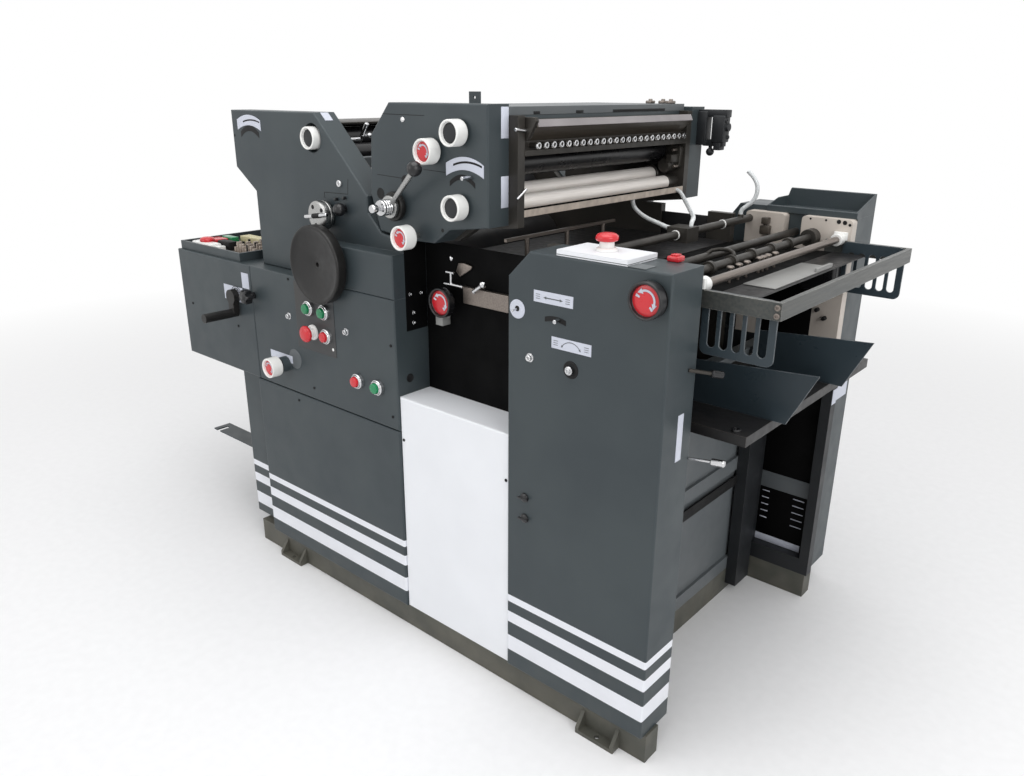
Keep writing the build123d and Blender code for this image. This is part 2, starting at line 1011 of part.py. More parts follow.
water_tray_top = water_tray_floor_z + water_tray_height
with BuildPart() as water_tray:
    add(
        slab(
            ink_frame_right - water_tray_depth,
            ink_frame_right,
            near_frame_inner,
            far_frame_inner,
            water_tray_floor_z,
            water_tray_top,
        )
    )
    add(
        slab(
            ink_frame_right - water_tray_depth + water_tray_wall,
            ink_frame_right - water_tray_wall,
            near_frame_inner + water_tray_wall,
            far_frame_inner - water_tray_wall,
            water_tray_floor_z + water_tray_wall,
            water_tray_top + overrun,
        ),
        mode=Mode.SUBTRACT,
    )
save(water_tray, "water_tray")

bracket_right = ink_frame_right + bracket_reach
bracket_top = bracket_floor_z + bracket_height
bracket_step_shares = [
    (0.0, 0.25), (0.45, 0.25), (0.55, 0.0), (0.85, 0.0), (1.0, 0.35), (1.0, 1.0), (0.3, 1.0), (0.0, 0.8),
]
with BuildPart() as far_bracket:
    add(
        side_plate(
            placed(
                ink_frame_right,
                bracket_floor_z,
                bracket_right - ink_frame_right,
                bracket_height,
                bracket_step_shares,
            ),
            far_unit_outer - bracket_depth,
            far_unit_outer,
        )
    )
save(far_bracket, "far_bracket")

# Feed board, and the plate at the front of the feeder
with BuildPart() as feed_board:
    add(
        slab(
            board_left,
            board_right,
            near_frame_inner,
            far_frame_inner,
            board_level - board_thickness,
            board_level,
        )
    )

    add(
        slab(
            feed_plate_left,
            feed_plate_left + feed_plate_length,
            near_arm_inner + slot_plate_thickness,
            far_arm_inner - slot_plate_thickness,
            arm_low,
            arm_low + feed_plate_thickness,
        )
    )
save(feed_board, "feed_board")

hold_bar_near = near_frame_inner + hold_bar_gap
with BuildPart() as sheet_guides:
    add(
        slab(
            hold_bar_x - hold_bar_size / 2,
            hold_bar_x + hold_bar_size / 2,
            hold_bar_near,
            hold_bar_near + hold_bar_length,
            hold_bar_z,
            hold_bar_z + hold_bar_size,
        )
    )
    for hold_post in range(hold_post_count):
        post_y = hold_bar_near + hold_post_spacing * (hold_post + 1) - hold_post_spacing / 2
        add(post(hold_bar_x, post_y, hold_post_radius, board_level, hold_bar_z))
    add(
        slab(
            lay_bar_left,
            lay_bar_left + lay_bar_length,
            near_frame_outer - lay_bar_thickness,
            near_frame_outer,
            lay_bar_floor,
            lay_bar_floor + lay_bar_height,
        )
    )
save(sheet_guides, "sheet_guides")

# Far side of the feeder
with BuildPart() as far_feeder_wall:
    add(
        slab(
            cabinet_left,
            feeder_wall_right,
            feeder_wall_inner,
            feeder_wall_outer,
            rail_height,
            table_level,
        )
    )
    add(
        slab(
            window_left,
            window_right,
            feeder_wall_inner - overrun,
            feeder_wall_outer + overrun,
            window_low,
            window_high,
        ),
        mode=Mode.SUBTRACT,
    )
save(far_feeder_wall, "far_feeder_wall")

with BuildPart() as far_inner_plate:
    add(
        side_plate(
            [
                (inner_plate_left, table_level),
                (cabinet_right, table_level),
                (cabinet_right, cabinet_top),
                (notch_right, cabinet_top),
                (notch_right, notch_level),
                (notch_left, notch_level),
                (notch_left, cabinet_top),
                (inner_plate_left, cabinet_top),
            ],
            feeder_wall_inner,
            feeder_wall_outer,
        )
    )
    top_corners = far_inner_plate.edges().filter_by(Axis.Y).group_by(Axis.Z)[-1]
    fillet(top_corners, plate_round)
save(far_inner_plate, "far_inner_plate")

with BuildPart() as far_feeder_cabinet:
    add(
        side_plate(
            [
                (cabinet_left, rail_height),
                (cabinet_right, rail_height),
                (cabinet_right, cabinet_top),
                (cap_left, cabinet_top),
                (cap_left, cabinet_top + far_shoulder_rise),
                (far_shoulder_top, cabinet_top + far_shoulder_rise),
                (far_shoulder_left, far_shoulder_level),
                (cabinet_left, far_shoulder_level),
            ],
            feeder_wall_outer,
            far_cabinet_outer,
        )
    )
save(far_feeder_cabinet, "far_feeder_cabinet")

cap_near = feeder_wall_outer - cap_overhang
cap_floor = cabinet_top
with BuildPart() as far_cabinet_cap:
    with BuildSketch(Plane.YZ.offset(cap_left)):
        with BuildLine():
            Polyline(
                (cap_near, cap_floor),
                (far_cabinet_outer, cap_floor),
                (far_cabinet_outer, cap_floor + cap_back),
                (cap_near, cap_floor + cap_lip),
                close=True,
            )
        make_face()
    extrude(amount=cabinet_right - cap_left)
    add(
        slab(
            cap_left + cap_wall,
            cabinet_right - cap_wall,
            cap_near + cap_wall,
            far_cabinet_outer - cap_wall,
            cap_floor + cap_wall,
            cap_floor + cap_back + overrun,
        ),
        mode=Mode.SUBTRACT,
    )
    add(
        side_plate(
            [
                (cap_left - overrun, cap_floor + cap_slope_rise),
                (cap_left, cap_floor + cap_slope_rise),
                (cap_left + cap_slope_run, cap_floor + cap_back),
                (cap_left + cap_slope_run, cap_floor + cap_back + overrun),
                (cap_left - overrun, cap_floor + cap_back + overrun),
            ],
            cap_near - overrun,
            far_cabinet_outer + overrun,
        ),
        mode=Mode.SUBTRACT,
    )
save(far_cabinet_cap, "far_cabinet_cap")

# Feeder rods, with the hose manifold on the first and drive wheels between the others
with BuildPart() as feeder_rods:
    add(rod(manifold_rod_x, rod_level, rod_radius, near_frame_inner, feeder_wall_inner))
    add(rod(second_rod_x, low_rod_level, low_rod_radius, near_frame_inner, feeder_wall_outer))
    add(rod(third_rod_x, low_rod_level, low_rod_radius, near_frame_inner, feeder_wall_inner))
    add(
        slab(
            manifold_rod_x - manifold_width / 2,
            manifold_rod_x + manifold_width / 2,
            manifold_centre - manifold_length / 2,
            manifold_centre + manifold_length / 2,
            rod_level - manifold_rise,
            rod_level + manifold_rise,
        )
    )
    add(post(manifold_rod_x, air_nipple_y, air_nipple_radius, rod_level, rod_level + air_nipple_rise))
    wheel_first = (near_frame_inner + feeder_wall_inner) / 2 - wheel_spacing * (wheel_count - 1) / 2
    for wheel in range(wheel_count):
        wheel_y = wheel_first + wheel * wheel_spacing
        wheel_low = wheel_y - wheel_width / 2
        add(rod(third_rod_x, low_rod_level, wheel_radius, wheel_low, wheel_low + wheel_width))
save(feeder_rods, "feeder_rods")

# Front frame of the feeder: two arms, a cross bar and the clamps that hold the silver rod
with BuildPart() as frame_arms:
    for arm_low_y, arm_high_y in (
        (near_frame_inner, near_arm_inner),
        (far_arm_inner, feeder_wall_inner),
    ):
        add(slab(arm_back, front_bar_front, arm_low_y, arm_high_y, arm_low, arm_top))
        add(
            slab(
                silver_rod_x - clamp_length / 2,
                silver_rod_x + clamp_length / 2,
                arm_low_y,
                arm_high_y,
                arm_top,
                low_rod_level + clamp_length / 2,
            )
        )
    add(
        slab(
            front_bar_front - arm_thickness,
            front_bar_front,
            near_frame_inner,
            feeder_wall_inner,
            arm_low,
            arm_top,
        )
    )
save(frame_arms, "frame_arms")

with BuildPart() as silver_rod:
    add(rod(silver_rod_x, low_rod_level, silver_rod_radius, near_arm_inner, far_arm_inner))
save(silver_rod, "silver_rod")

slot_pitch = (slot_plate_length - 2 * slot_margin - slot_width) / (slot_count - 1)
slot_low = slot_plate_low + slot_margin
slot_height = arm_low + slot_overlap - slot_low
slot_plate_round = slot_margin
with BuildPart() as slotted_plates:
    for plate_low_y, plate_high_y in (
        (near_arm_inner, near_arm_inner + slot_plate_thickness),
        (far_arm_inner - slot_plate_thickness, far_arm_inner),
    ):
        with BuildSketch(Plane.XZ.offset(-plate_high_y)) as slotted:
            with Locations((slot_plate_left + slot_plate_length / 2, (slot_plate_low + arm_top) / 2)):
                RectangleRounded(slot_plate_length, arm_top - slot_plate_low, slot_plate_round)
            for slot in range(slot_count):
                slot_x = slot_plate_left + slot_margin + slot_width / 2 + slot * slot_pitch
                with Locations((slot_x, slot_low + slot_height / 2)):
                    SlotOverall(slot_height, slot_width, rotation=90, mode=Mode.SUBTRACT)
        extrude(amount=plate_high_y - plate_low_y)
save(slotted_plates, "slotted_plates")

# Cross panel behind the pile, with two shallow recesses
panel_back = cross_panel_front - panel_thickness
panel_half = (panel_top - rail_height - panel_rail) / 2
with BuildPart() as cross_panel:
    add(slab(panel_back, cross_panel_front, near_frame_inner, feeder_wall_inner, rail_height, panel_top))
    for recess_low in (rail_height, rail_height + panel_half):
        add(
            slab(
                cross_panel_front - panel_recess,
                cross_panel_front + overrun,
                near_frame_inner + panel_rail,
                feeder_wall_inner - panel_rail,
                recess_low + panel_rail,
                recess_low + panel_half,
            ),
            mode=Mode.SUBTRACT,
        )
save(cross_panel, "cross_panel")

column_front = cross_panel_front + column_depth
column_centres = [table_centre - column_offset, table_centre + column_offset]
with BuildPart() as lift_columns:
    for column_y in column_centres:
        add(
            slab(
                cross_panel_front,
                column_front,
                column_y - column_width / 2,
                column_y + column_width / 2,
                column_floor,
                panel_top,
            )
        )
save(lift_columns, "lift_columns")

# Feed table, its carriage and the pile guides
table_near = table_centre - table_width / 2
table_far = table_centre + table_width / 2
with BuildPart() as feed_table:
    add(slab(table_back, table_front, table_near, table_far, table_level - table_flange, table_level))
    add(
        slab(
            table_back + table_wall,
            table_front - table_wall,
            table_near + table_wall,
            table_far - table_wall,
            table_level - table_flange - overrun,
            table_level - table_sheet,
        ),
        mode=Mode.SUBTRACT,
    )
save(feed_table, "feed_table")

shoe_top = table_level - table_flange
shoe_front = column_front + slide_clearance + shoe_wall
with BuildPart() as table_carriage:
    for column_y in column_centres:
        shoe_half = column_width / 2 + slide_clearance
        add(
            slab(
                column_front - shoe_wrap,
                shoe_front,
                column_y - shoe_half - shoe_wall,
                column_y + shoe_half + shoe_wall,
                shoe_top - shoe_length,
                shoe_top,
            )
        )
        add(
            slab(
                column_front - shoe_wrap - overrun,
                column_front + slide_clearance,
                column_y - shoe_half,
                column_y + shoe_half,
                shoe_top - shoe_length - overrun,
                shoe_top + overrun,
            ),
            mode=Mode.SUBTRACT,
        )
save(table_carriage, "table_carriage")

guide_top = table_level + guide_height
with BuildPart() as pile_guides:
    for guide_y in (guide_near, guide_near + guide_spacing):
        add(
            side_plate(
                [
                    (guide_back, table_level),
                    (guide_low_front, table_level),
                    (guide_top_front, guide_top + guide_tip_rise),
                    (guide_back, guide_top),
                ],
                guide_y,
                guide_y + guide_thickness,
            )
        )
save(pile_guides, "pile_guides")

# Handwheel, dished, on its shaft
wheel_front = cover_front - handwheel_gap - handwheel_depth
with BuildPart() as handwheel:
    add(
        turned(
            [
                (0, handwheel_depth - handwheel_plate),
                (handwheel_hub_radius, handwheel_depth - handwheel_plate),
                (handwheel_radius - handwheel_rim, handwheel_rim),
                (handwheel_radius - handwheel_rim, 0),
                (handwheel_radius, 0),
                (handwheel_radius, handwheel_rim),
                (handwheel_hub_radius, handwheel_depth),
                (handwheel_shaft_radius, handwheel_depth),
                (handwheel_shaft_radius, handwheel_depth + handwheel_gap + unit_recess),
                (0, handwheel_depth + handwheel_gap + unit_recess),
            ],
            handwheel_x,
            handwheel_z,
            wheel_front,
        )
    )
save(handwheel, "handwheel")


def knob(x, z, back, radius, length, standoff):
    """A cupped knob on its shaft; back is the face that the shaft runs into."""
    hollow = radius - knob_wall
    shaft_end = length + standoff + knob_shaft_depth - overrun
    return turned(
        [
            (0, knob_recess),
            (hollow, knob_recess),
            (hollow, 0),
            (radius, 0),
            (radius, length),
            (knob_shaft_radius, length),
            (knob_shaft_radius, shaft_end),
            (0, shaft_end),
        ],
        x,
        z,
        back - standoff - length,
    )


knob_places = {
    "left_unit_knob": (
        left_knob_x, left_knob_z, unit_front + sunk_depth, knob_radius, knob_length, knob_standoff
    ),
    "ink_top_knob": (ink_knob_x, ink_top_knob_z, unit_front, knob_radius, knob_length, knob_standoff),
    "ink_side_knob": (
        ink_side_knob_x, ink_side_knob_z, unit_front, knob_radius, knob_length, knob_standoff
    ),
    "ink_low_knob": (ink_knob_x, ink_low_knob_z, unit_front, knob_radius, knob_length, knob_standoff),
    "ink_shaft_knob": (
        ink_shaft_knob_x,
        ink_shaft_knob_z,
        unit_front,
        knob_radius,
        knob_length,
        ink_shaft_knob_standoff,
    ),
    "lower_knob": (
        lower_knob_x,
        lower_knob_z,
        cover_front - lower_boss_length,
        knob_radius,
        knob_length,
        knob_standoff,
    ),
    "cabinet_knob": (
        ring_knob_x, ring_knob_z, cover_front, ring_knob_radius, ring_knob_length, knob_standoff
    ),
    "opening_knob": (
        opening_knob_x,
        opening_knob_z,
        near_frame_outer,
        ring_knob_radius,
        opening_knob_length,
        knob_standoff,
    ),
}
for knob_name, knob_place in knob_places.items():
    with BuildPart() as turning_knob:
        add(knob(*knob_place))
    save(turning_knob, knob_name)

# Chuck hub with a cross bar through its face
chuck_front = unit_front - chuck_gap - chuck_length
with BuildPart() as chuck_hub:
    add(rod(chuck_x, chuck_z, chuck_radius, chuck_front, chuck_front + chuck_length))
    add(
        rod(
            chuck_x,
            chuck_z,
            chuck_shaft_radius,
            chuck_front + chuck_length,
            unit_front + knob_shaft_depth - overrun,
        )
    )
    with BuildSketch(Plane.YZ.offset(chuck_x - chuck_bar_length / 2)):
        with Locations((chuck_front + chuck_bar_sink, chuck_z)):
            Circle(chuck_bar_radius)
    extrude(amount=chuck_bar_length)
save(chuck_hub, "chuck_hub")

# Pressure lever: hub, stepped nose, flat arm and ball
lever_front = unit_front - lever_gap - lever_hub_length
lever_arm_rear = lever_front - lever_nose_length
with BuildPart() as pressure_lever:
    add(
        turned(
            [
                (0, -lever_nose_length - lever_tip_length),
                (lever_tip_radius, -lever_nose_length - lever_tip_length),
                (lever_tip_radius, -lever_nose_length),
                (lever_nose_radius, -lever_nose_length),
                (lever_nose_radius, 0),
                (lever_hub_radius, 0),
                (lever_hub_radius, lever_hub_length),
                (lever_shaft_radius, lever_hub_length),
                (lever_shaft_radius, lever_hub_length + lever_gap + knob_shaft_depth - overrun),
                (0, lever_hub_length + lever_gap + knob_shaft_depth - overrun),
            ],
            lever_x,
            lever_z,
            lever_front,
        )
    )
    ball_x = lever_x + lever_reach_x
    ball_z = lever_z + lever_reach_z
    with BuildSketch(Plane.XZ.offset(-lever_arm_rear)):
        SlotCenterPoint(((lever_x + ball_x) / 2, (lever_z + ball_z) / 2), (ball_x, ball_z), lever_width)
    extrude(amount=lever_thickness)
    with Locations((ball_x, lever_arm_rear - lever_thickness / 2, ball_z)):
        Sphere(lever_ball_radius)
save(pressure_lever, "pressure_lever")

# Crank on the delivery cover
crank_front = cover_front - crank_gap - crank_hub_length
with BuildPart() as crank:
    add(rod(crank_x, crank_z, crank_hub_radius, crank_front, crank_front + crank_hub_length))
    with BuildSketch(Plane.XZ.offset(-crank_front - crank_hub_length)):
        with Locations((crank_x, crank_z - crank_throw / 2)):
            SlotCenterToCenter(crank_throw, crank_arm_width, rotation=90)
    extrude(amount=crank_hub_length)
    add(
        rod(
            crank_x,
            crank_z - crank_throw,
            crank_grip_radius,
            crank_front - crank_grip_length,
            crank_front,
        )
    )
    add(
        rod(
            crank_x,
            crank_z,
            crank_shaft_radius,
            crank_front + crank_hub_length,
            cover_front + knob_shaft_depth - overrun,
        )
    )
save(crank, "crank")

# Push buttons, and emergency stops on the cover, the cabinet and the tray
top_stop_z = cabinet_top + top_plate_height
top_stop_x = top_plate_left + top_plate_length / 2
top_stop_y = top_plate_front + top_plate_width / 2
tray_stop_z = deck_level + tray_floor
tray_stop_y = tray_front + tray_stop_inset
with BuildPart() as push_buttons:
    for level, button_share in button_shares:
        button_x = main_left + button_share * main_length
        button_z = button_levels[level]
        add(rod(button_x, button_z, button_ring_radius, cover_front - button_ring_length, cover_front))
        add(
            rod(
                button_x,
                button_z,
                button_radius,
                cover_front - button_ring_length - button_cap_length,
                cover_front - button_ring_length,
            )
        )
    add(rod(panel_stop_x, panel_stop_z, stop_stem_radius, cover_front - stop_stem_height, cover_front))
    add(
        rod(
            panel_stop_x,
            panel_stop_z,
            stop_head_radius,
            cover_front - stop_stem_height - stop_head_height,
            cover_front - stop_stem_height,
        )
    )
    for stop_x, stop_y, stop_z in (
        (top_stop_x, top_stop_y, top_stop_z),
        (tray_stop_x, tray_stop_y, tray_stop_z),
    ):
        add(post(stop_x, stop_y, stop_stem_radius, stop_z, stop_z + stop_stem_height))
        add(
            post(
                stop_x,
                stop_y,
                stop_head_radius,
                stop_z + stop_stem_height,
                stop_z + stop_stem_height + stop_head_height,
            )
        )
save(push_buttons, "push_buttons")


def bend_radii(points):
    """The radius at each corner of a route, as large as its two runs allow."""
    radii = []
    for before, corner, after in zip(points, points[1:], points[2:]):
        run_in = Vector(*corner) - Vector(*before)
        run_out = Vector(*after) - Vector(*corner)
        half_turn = math.radians(run_in.get_angle(run_out)) / 2
        shorter = min(run_in.length, run_out.length)
        radii.append(hose_bend_share * shorter / math.tan(half_turn))
    return radii


def hose(points):
    """A round hose along its points, with its bends rounded."""
    radii = bend_radii(points)
    print("bend radii", [round(radius) for radius in radii])
    with BuildPart() as tube:
        with BuildLine() as path:
            FilletPolyline(*points, radius=radii)
        with BuildSketch(Plane(origin=path.line @ 0, z_dir=path.line % 0)):
            Circle(hose_radius)
        sweep()
    return tube


save(hose(drain_hose_points), "drain_hose")
save(hose(supply_hose_points), "supply_hose")
save(hose(air_hose_points), "air_hose")
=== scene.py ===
import json
import math

import bmesh
import bpy
from mathutils import Matrix, Vector


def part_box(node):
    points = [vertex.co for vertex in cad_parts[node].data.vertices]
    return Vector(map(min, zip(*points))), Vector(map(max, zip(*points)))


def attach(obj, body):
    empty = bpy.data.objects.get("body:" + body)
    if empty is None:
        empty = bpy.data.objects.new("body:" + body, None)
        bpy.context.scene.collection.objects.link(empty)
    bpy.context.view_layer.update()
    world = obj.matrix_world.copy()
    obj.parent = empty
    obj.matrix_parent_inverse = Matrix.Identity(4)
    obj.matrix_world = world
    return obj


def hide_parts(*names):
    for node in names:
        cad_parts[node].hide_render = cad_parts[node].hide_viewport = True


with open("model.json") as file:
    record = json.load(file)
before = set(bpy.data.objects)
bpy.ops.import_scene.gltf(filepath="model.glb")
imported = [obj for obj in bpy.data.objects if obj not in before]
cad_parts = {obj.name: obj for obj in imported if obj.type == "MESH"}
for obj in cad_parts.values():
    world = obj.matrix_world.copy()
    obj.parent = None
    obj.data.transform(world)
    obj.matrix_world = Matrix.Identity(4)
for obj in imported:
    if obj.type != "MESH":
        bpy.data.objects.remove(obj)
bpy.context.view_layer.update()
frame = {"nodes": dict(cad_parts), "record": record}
scene = bpy.context.scene


def add_object(name, data):
    made = bpy.data.objects.new(name, data)
    scene.collection.objects.link(made)
    return made


# Shapes are drawn in millimetres, as the solids are, and scaled to metres when a piece is made
mm = 0.001
front_way = (0.0, -1.0, 0.0)
up_way = (0.0, 0.0, 1.0)
right_way = (1.0, 0.0, 0.0)

# Camera
camera_place = (1.300, -1.578, 1.279)
camera_turn = math.radians(41.01)
camera_dip = math.radians(19.858)
camera_roll = math.radians(0.279)
camera_lens = 28.96
camera_sensor = 36.0

camera_data = bpy.data.cameras.new("camera")
camera_data.sensor_width = camera_sensor
camera_data.sensor_fit = "HORIZONTAL"
camera_data.lens = camera_lens
camera = add_object("camera", camera_data)
camera.matrix_world = (
    Matrix.Translation(camera_place)
    @ Matrix.Rotation(camera_turn, 4, "Z")
    @ Matrix.Rotation(math.pi / 2 - camera_dip, 4, "X")
    @ Matrix.Rotation(camera_roll, 4, "Z")
)
scene.camera = camera


# Materials

def srgb(red, green, blue):
    shares = []
    for value in (red, green, blue):
        value = value / 255
        shares.append(value / 12.92 if value <= 0.04045 else ((value + 0.055) / 1.055) ** 2.4)
    return (*shares, 1)


class Graph:
    """A material's node tree. Sockets are given by name or number, with a plain value or a link."""

    def __init__(self, name):
        self.material = bpy.data.materials.new(name)
        self.material.use_nodes = True
        self.tree = self.material.node_tree
        self.shader = self.tree.nodes["Principled BSDF"]
        self.coords = self.node("ShaderNodeTexCoord", {}).outputs["Object"]

    def node(self, kind, sockets, **settings):
        made = self.tree.nodes.new(kind)
        for key, value in settings.items():
            setattr(made, key, value)
        self.fill(made, sockets)
        return made

    def fill(self, node, sockets):
        for key, value in sockets.items():
            if isinstance(value, bpy.types.NodeSocket):
                self.tree.links.new(value, node.inputs[key])
            else:
                node.inputs[key].default_value = value

    def noise(self, scale, detail, stretch=(1, 1, 1)):
        mapping = self.node("ShaderNodeMapping", {"Scale": stretch, "Vector": self.coords})
        sockets = {"Vector": mapping.outputs["Vector"], "Scale": scale, "Detail": detail}
        return self.node("ShaderNodeTexNoise", sockets).outputs["Fac"]

    def spread(self, value, from_low, from_high, to_low=0, to_high=1):
        sockets = {"Value": value, "From Min": from_low, "From Max": from_high}
        sockets |= {"To Min": to_low, "To Max": to_high}
        return self.node("ShaderNodeMapRange", sockets).outputs["Result"]

    def sum(self, operation, first, second):
        made = self.node("ShaderNodeMath", {0: first, 1: second}, operation=operation)
        return made.outputs["Value"]

    def mix(self, share, first, second):
        sockets = {"Factor": share, 6: first, 7: second}
        return self.node("ShaderNodeMix", sockets, data_type="RGBA").outputs[2]

    def height(self):
        return self.node("ShaderNodeSeparateXYZ", {"Vector": self.coords}).outputs["Z"]


stripe_levels = [(0.233, 0.250), (0.181, 0.208), (0.108, 0.146)]
stripe_colour = srgb(232, 234, 240)
dust_height = 0.30
dust_colour = srgb(120, 116, 106)
dust_scale = 14
edge_radius = 0.0016
edge_match = (0.98, 0.80)
rub_and_highlight_scale = 38
least_rub_and_highlight = 0.15
smear_ratio = 3.1
bump_strength = 0.5
# The first finish of a slot is for the nodes that have none of their own
finish_of_slot = {}


def finish(
    name, slot, colour, shade, rough, metal=0, mottle=6, grain=700, depth=0.00004,
    stretch=(1, 1, 1), wear_and_highlight=None, wear_and_highlight_share=0.5, striped=False, dust=0, level=0.35,
    coat=0, clear=0,
):
    """A mottled surface in two colours, with worn edges that also carry a painted highlight, stripes and
    dust where they are asked for.
    """
    graph = Graph(name)
    finish_of_slot.setdefault(slot, graph.material)
    cloud = graph.noise(mottle, 5, stretch)
    tint = graph.mix(graph.spread(cloud, 0.35, 0.65), srgb(*colour), srgb(*shade))
    bevel = graph.node("ShaderNodeBevel", {"Radius": edge_radius}, samples=4).outputs["Normal"]
    if striped:
        height = graph.height()
        stripes = 0
        for low, high in stripe_levels:
            above = graph.sum("GREATER_THAN", height, low)
            below = graph.sum("LESS_THAN", height, high)
            stripes = graph.sum("ADD", graph.sum("MULTIPLY", above, below), stripes)
        tint = graph.mix(stripes, tint, stripe_colour)
    if dust > 0:
        near_floor = graph.spread(graph.height(), 0, dust_height, dust, 0)
        patches = graph.spread(graph.noise(dust_scale, 6), 0.4, 0.7)
        tint = graph.mix(graph.sum("MULTIPLY", near_floor, patches), tint, dust_colour)
    # Edge colour along rounded edges: partly worn paint, partly a painted highlight where the edges catch
    # the light
    if wear_and_highlight is not None:
        surface = graph.node("ShaderNodeNewGeometry", {}).outputs["Normal"]
        match = graph.node("ShaderNodeVectorMath", {0: bevel, 1: surface}, operation="DOT_PRODUCT")
        edges = graph.spread(match.outputs["Value"], *edge_match)
        rub_and_highlight_patches = graph.spread(graph.noise(rub_and_highlight_scale, 4), 0.38, 0.62, least_rub_and_highlight, wear_and_highlight_share)
        tint = graph.mix(graph.sum("MULTIPLY", edges, rub_and_highlight_patches), tint, srgb(*wear_and_highlight))
    smear = graph.noise(mottle * smear_ratio, 4, stretch)
    bump = graph.node("ShaderNodeBump", {
        "Strength": bump_strength, "Distance": depth, "Height": graph.noise(grain, 2, stretch),
        "Normal": bevel,
    })
    graph.fill(graph.shader, {
        "Base Color": tint, "Roughness": graph.spread(smear, 0.3, 0.7, *rough), "Metallic": metal,
        "Specular IOR Level": level, "Coat Weight": coat, "Transmission Weight": clear,
        "Normal": bump.outputs["Normal"],
    })
    return graph.material


brush_along_y = (6, 0.25, 6)
# Pale edge colour of the slate covers: painted highlight on their rounded edges, with some worn paint
slate_wear_and_highlight = (128, 134, 138)
slate = finish("slate", "slate_paint", (54, 62, 66), (60, 68, 71), (0.34, 0.46), wear_and_highlight=slate_wear_and_highlight)
slate_striped = finish(
    "slate_striped", "slate_paint", (54, 62, 66), (60, 68, 71), (0.34, 0.46), wear_and_highlight=slate_wear_and_highlight,
    striped=True, dust=0.12,
)
# Paler slate paint: partly the paler grey of some parts, partly painted light on faces turned to the
# lamps, such as the cross panel, roof and cabinet top strips
slate_pale_and_lit = finish(
    "slate_pale_and_lit", "slate_paint", (92, 97, 100), (100, 104, 106), (0.36, 0.5), wear_and_highlight=slate_wear_and_highlight,
)
panel_brown = finish("panel_brown", "slate_paint", (58, 60, 62), (64, 63, 62), (0.36, 0.46))
dark = finish("dark", "dark_paint", (30, 32, 35), (38, 40, 42), (0.4, 0.55), wear_and_highlight=(92, 94, 96))
base_coat = finish(
    "base_coat", "base_paint", (74, 75, 69), (84, 83, 75), (0.45, 0.62), wear_and_highlight=(130, 126, 116),
    dust=0.35,
)
white_coat = finish(
    "white_coat", "white_paint", (236, 238, 242), (232, 234, 238), (0.3, 0.42), wear_and_highlight=(214, 214, 212),
    wear_and_highlight_share=0.3,
)
cream = finish(
    "cream", "cream_paint", (206, 197, 188), (190, 181, 172), (0.35, 0.5), mottle=9,
    wear_and_highlight=(222, 212, 198),
)
steel = finish(
    "steel", "machined_steel", (176, 176, 174), (166, 166, 165), (0.24, 0.36), metal=1, mottle=60,
    grain=500, stretch=brush_along_y,
)
chrome = finish(
    "chrome", "bright_steel", (214, 214, 215), (196, 197, 199), (0.1, 0.2), metal=1, mottle=30,
    depth=0.00001,
)
iron = finish(
    "iron", "cast_handwheel", (21, 20, 20), (27, 26, 25), (0.34, 0.46), mottle=20, grain=900,
    wear_and_highlight=(112, 108, 102),
)
white_gloss = finish(
    "white_gloss", "white_plastic", (240, 240, 238), (234, 234, 231), (0.16, 0.26), level=0.5, coat=0.2,
)
black_gloss = finish(
    "black_gloss", "black_plastic", (20, 20, 22), (27, 27, 29), (0.22, 0.36), level=0.5,
)
black_matt = finish("black_matt", "black_plastic", (11, 11, 12), (17, 17, 18), (0.55, 0.75))
red_gloss = finish(
    "red_gloss", "black_plastic", (196, 30, 42), (206, 42, 50), (0.2, 0.32), level=0.5, coat=0.15,
)
green_gloss = finish(
    "green_gloss", "black_plastic", (10, 120, 74), (16, 134, 84), (0.2, 0.32), level=0.5, coat=0.15,
)
label_white = finish("label_white", "white_plastic", (206, 210, 222), (198, 202, 214), (0.4, 0.5))
fountain_brown = finish(
    "fountain_brown", "dark_paint", (64, 58, 52), (76, 70, 62), (0.3, 0.45), mottle=14,
    stretch=brush_along_y, wear_and_highlight=(150, 146, 138),
)
hose_clear = finish(
    "hose_clear", "hose_plastic", (232, 235, 236), (224, 228, 229), (0.2, 0.3), level=0.5, clear=0.12,
    depth=0.000004,
)
# Pale slot edges: painted highlight along the plates' edges, with some worn paint
blue_black = finish(
    "blue_black", "dark_paint", (42, 52, 58), (50, 60, 66), (0.25, 0.38), wear_and_highlight=(168, 174, 178),
    wear_and_highlight_share=0.9,
)
dull_steel = finish(
    "dull_steel", "bright_steel", (140, 131, 124), (124, 116, 110), (0.3, 0.42), metal=0.85,
    mottle=50, stretch=brush_along_y,
)
dark_steel = finish(
    "dark_steel", "machined_steel", (62, 59, 55), (50, 48, 45), (0.32, 0.48), metal=0.35, mottle=16,
    wear_and_highlight=(128, 122, 114),
)
grey_coat = finish(
    "grey_coat", "machined_steel", (150, 150, 148), (140, 140, 138), (0.38, 0.5), wear_and_highlight=(190, 190, 188),
)
beige = finish("beige", "machined_steel", (190, 178, 166), (168, 156, 146), (0.45, 0.6), mottle=60)
pale_yellow = finish(
    "pale_yellow", "white_plastic", (206, 200, 160), (196, 188, 150), (0.5, 0.6), mottle=40,
)
frame_coat = finish(
    "frame_coat", "dark_paint", (46, 44, 41), (54, 51, 47), (0.36, 0.5), mottle=14,
    wear_and_highlight=(104, 100, 92),
)
black_steel = finish(
    "black_steel", "machined_steel", (28, 28, 30), (37, 36, 36), (0.3, 0.45), mottle=18,
    wear_and_highlight=(112, 106, 98),
)
# Near-white roller colour: steel, with its broad bright reflection bands painted in as colour
roller_steel_sheen = finish(
    "roller_steel_sheen", "bright_steel", (238, 233, 228), (224, 218, 212), (0.3, 0.42), metal=0.15,
    mottle=40, stretch=brush_along_y,
)
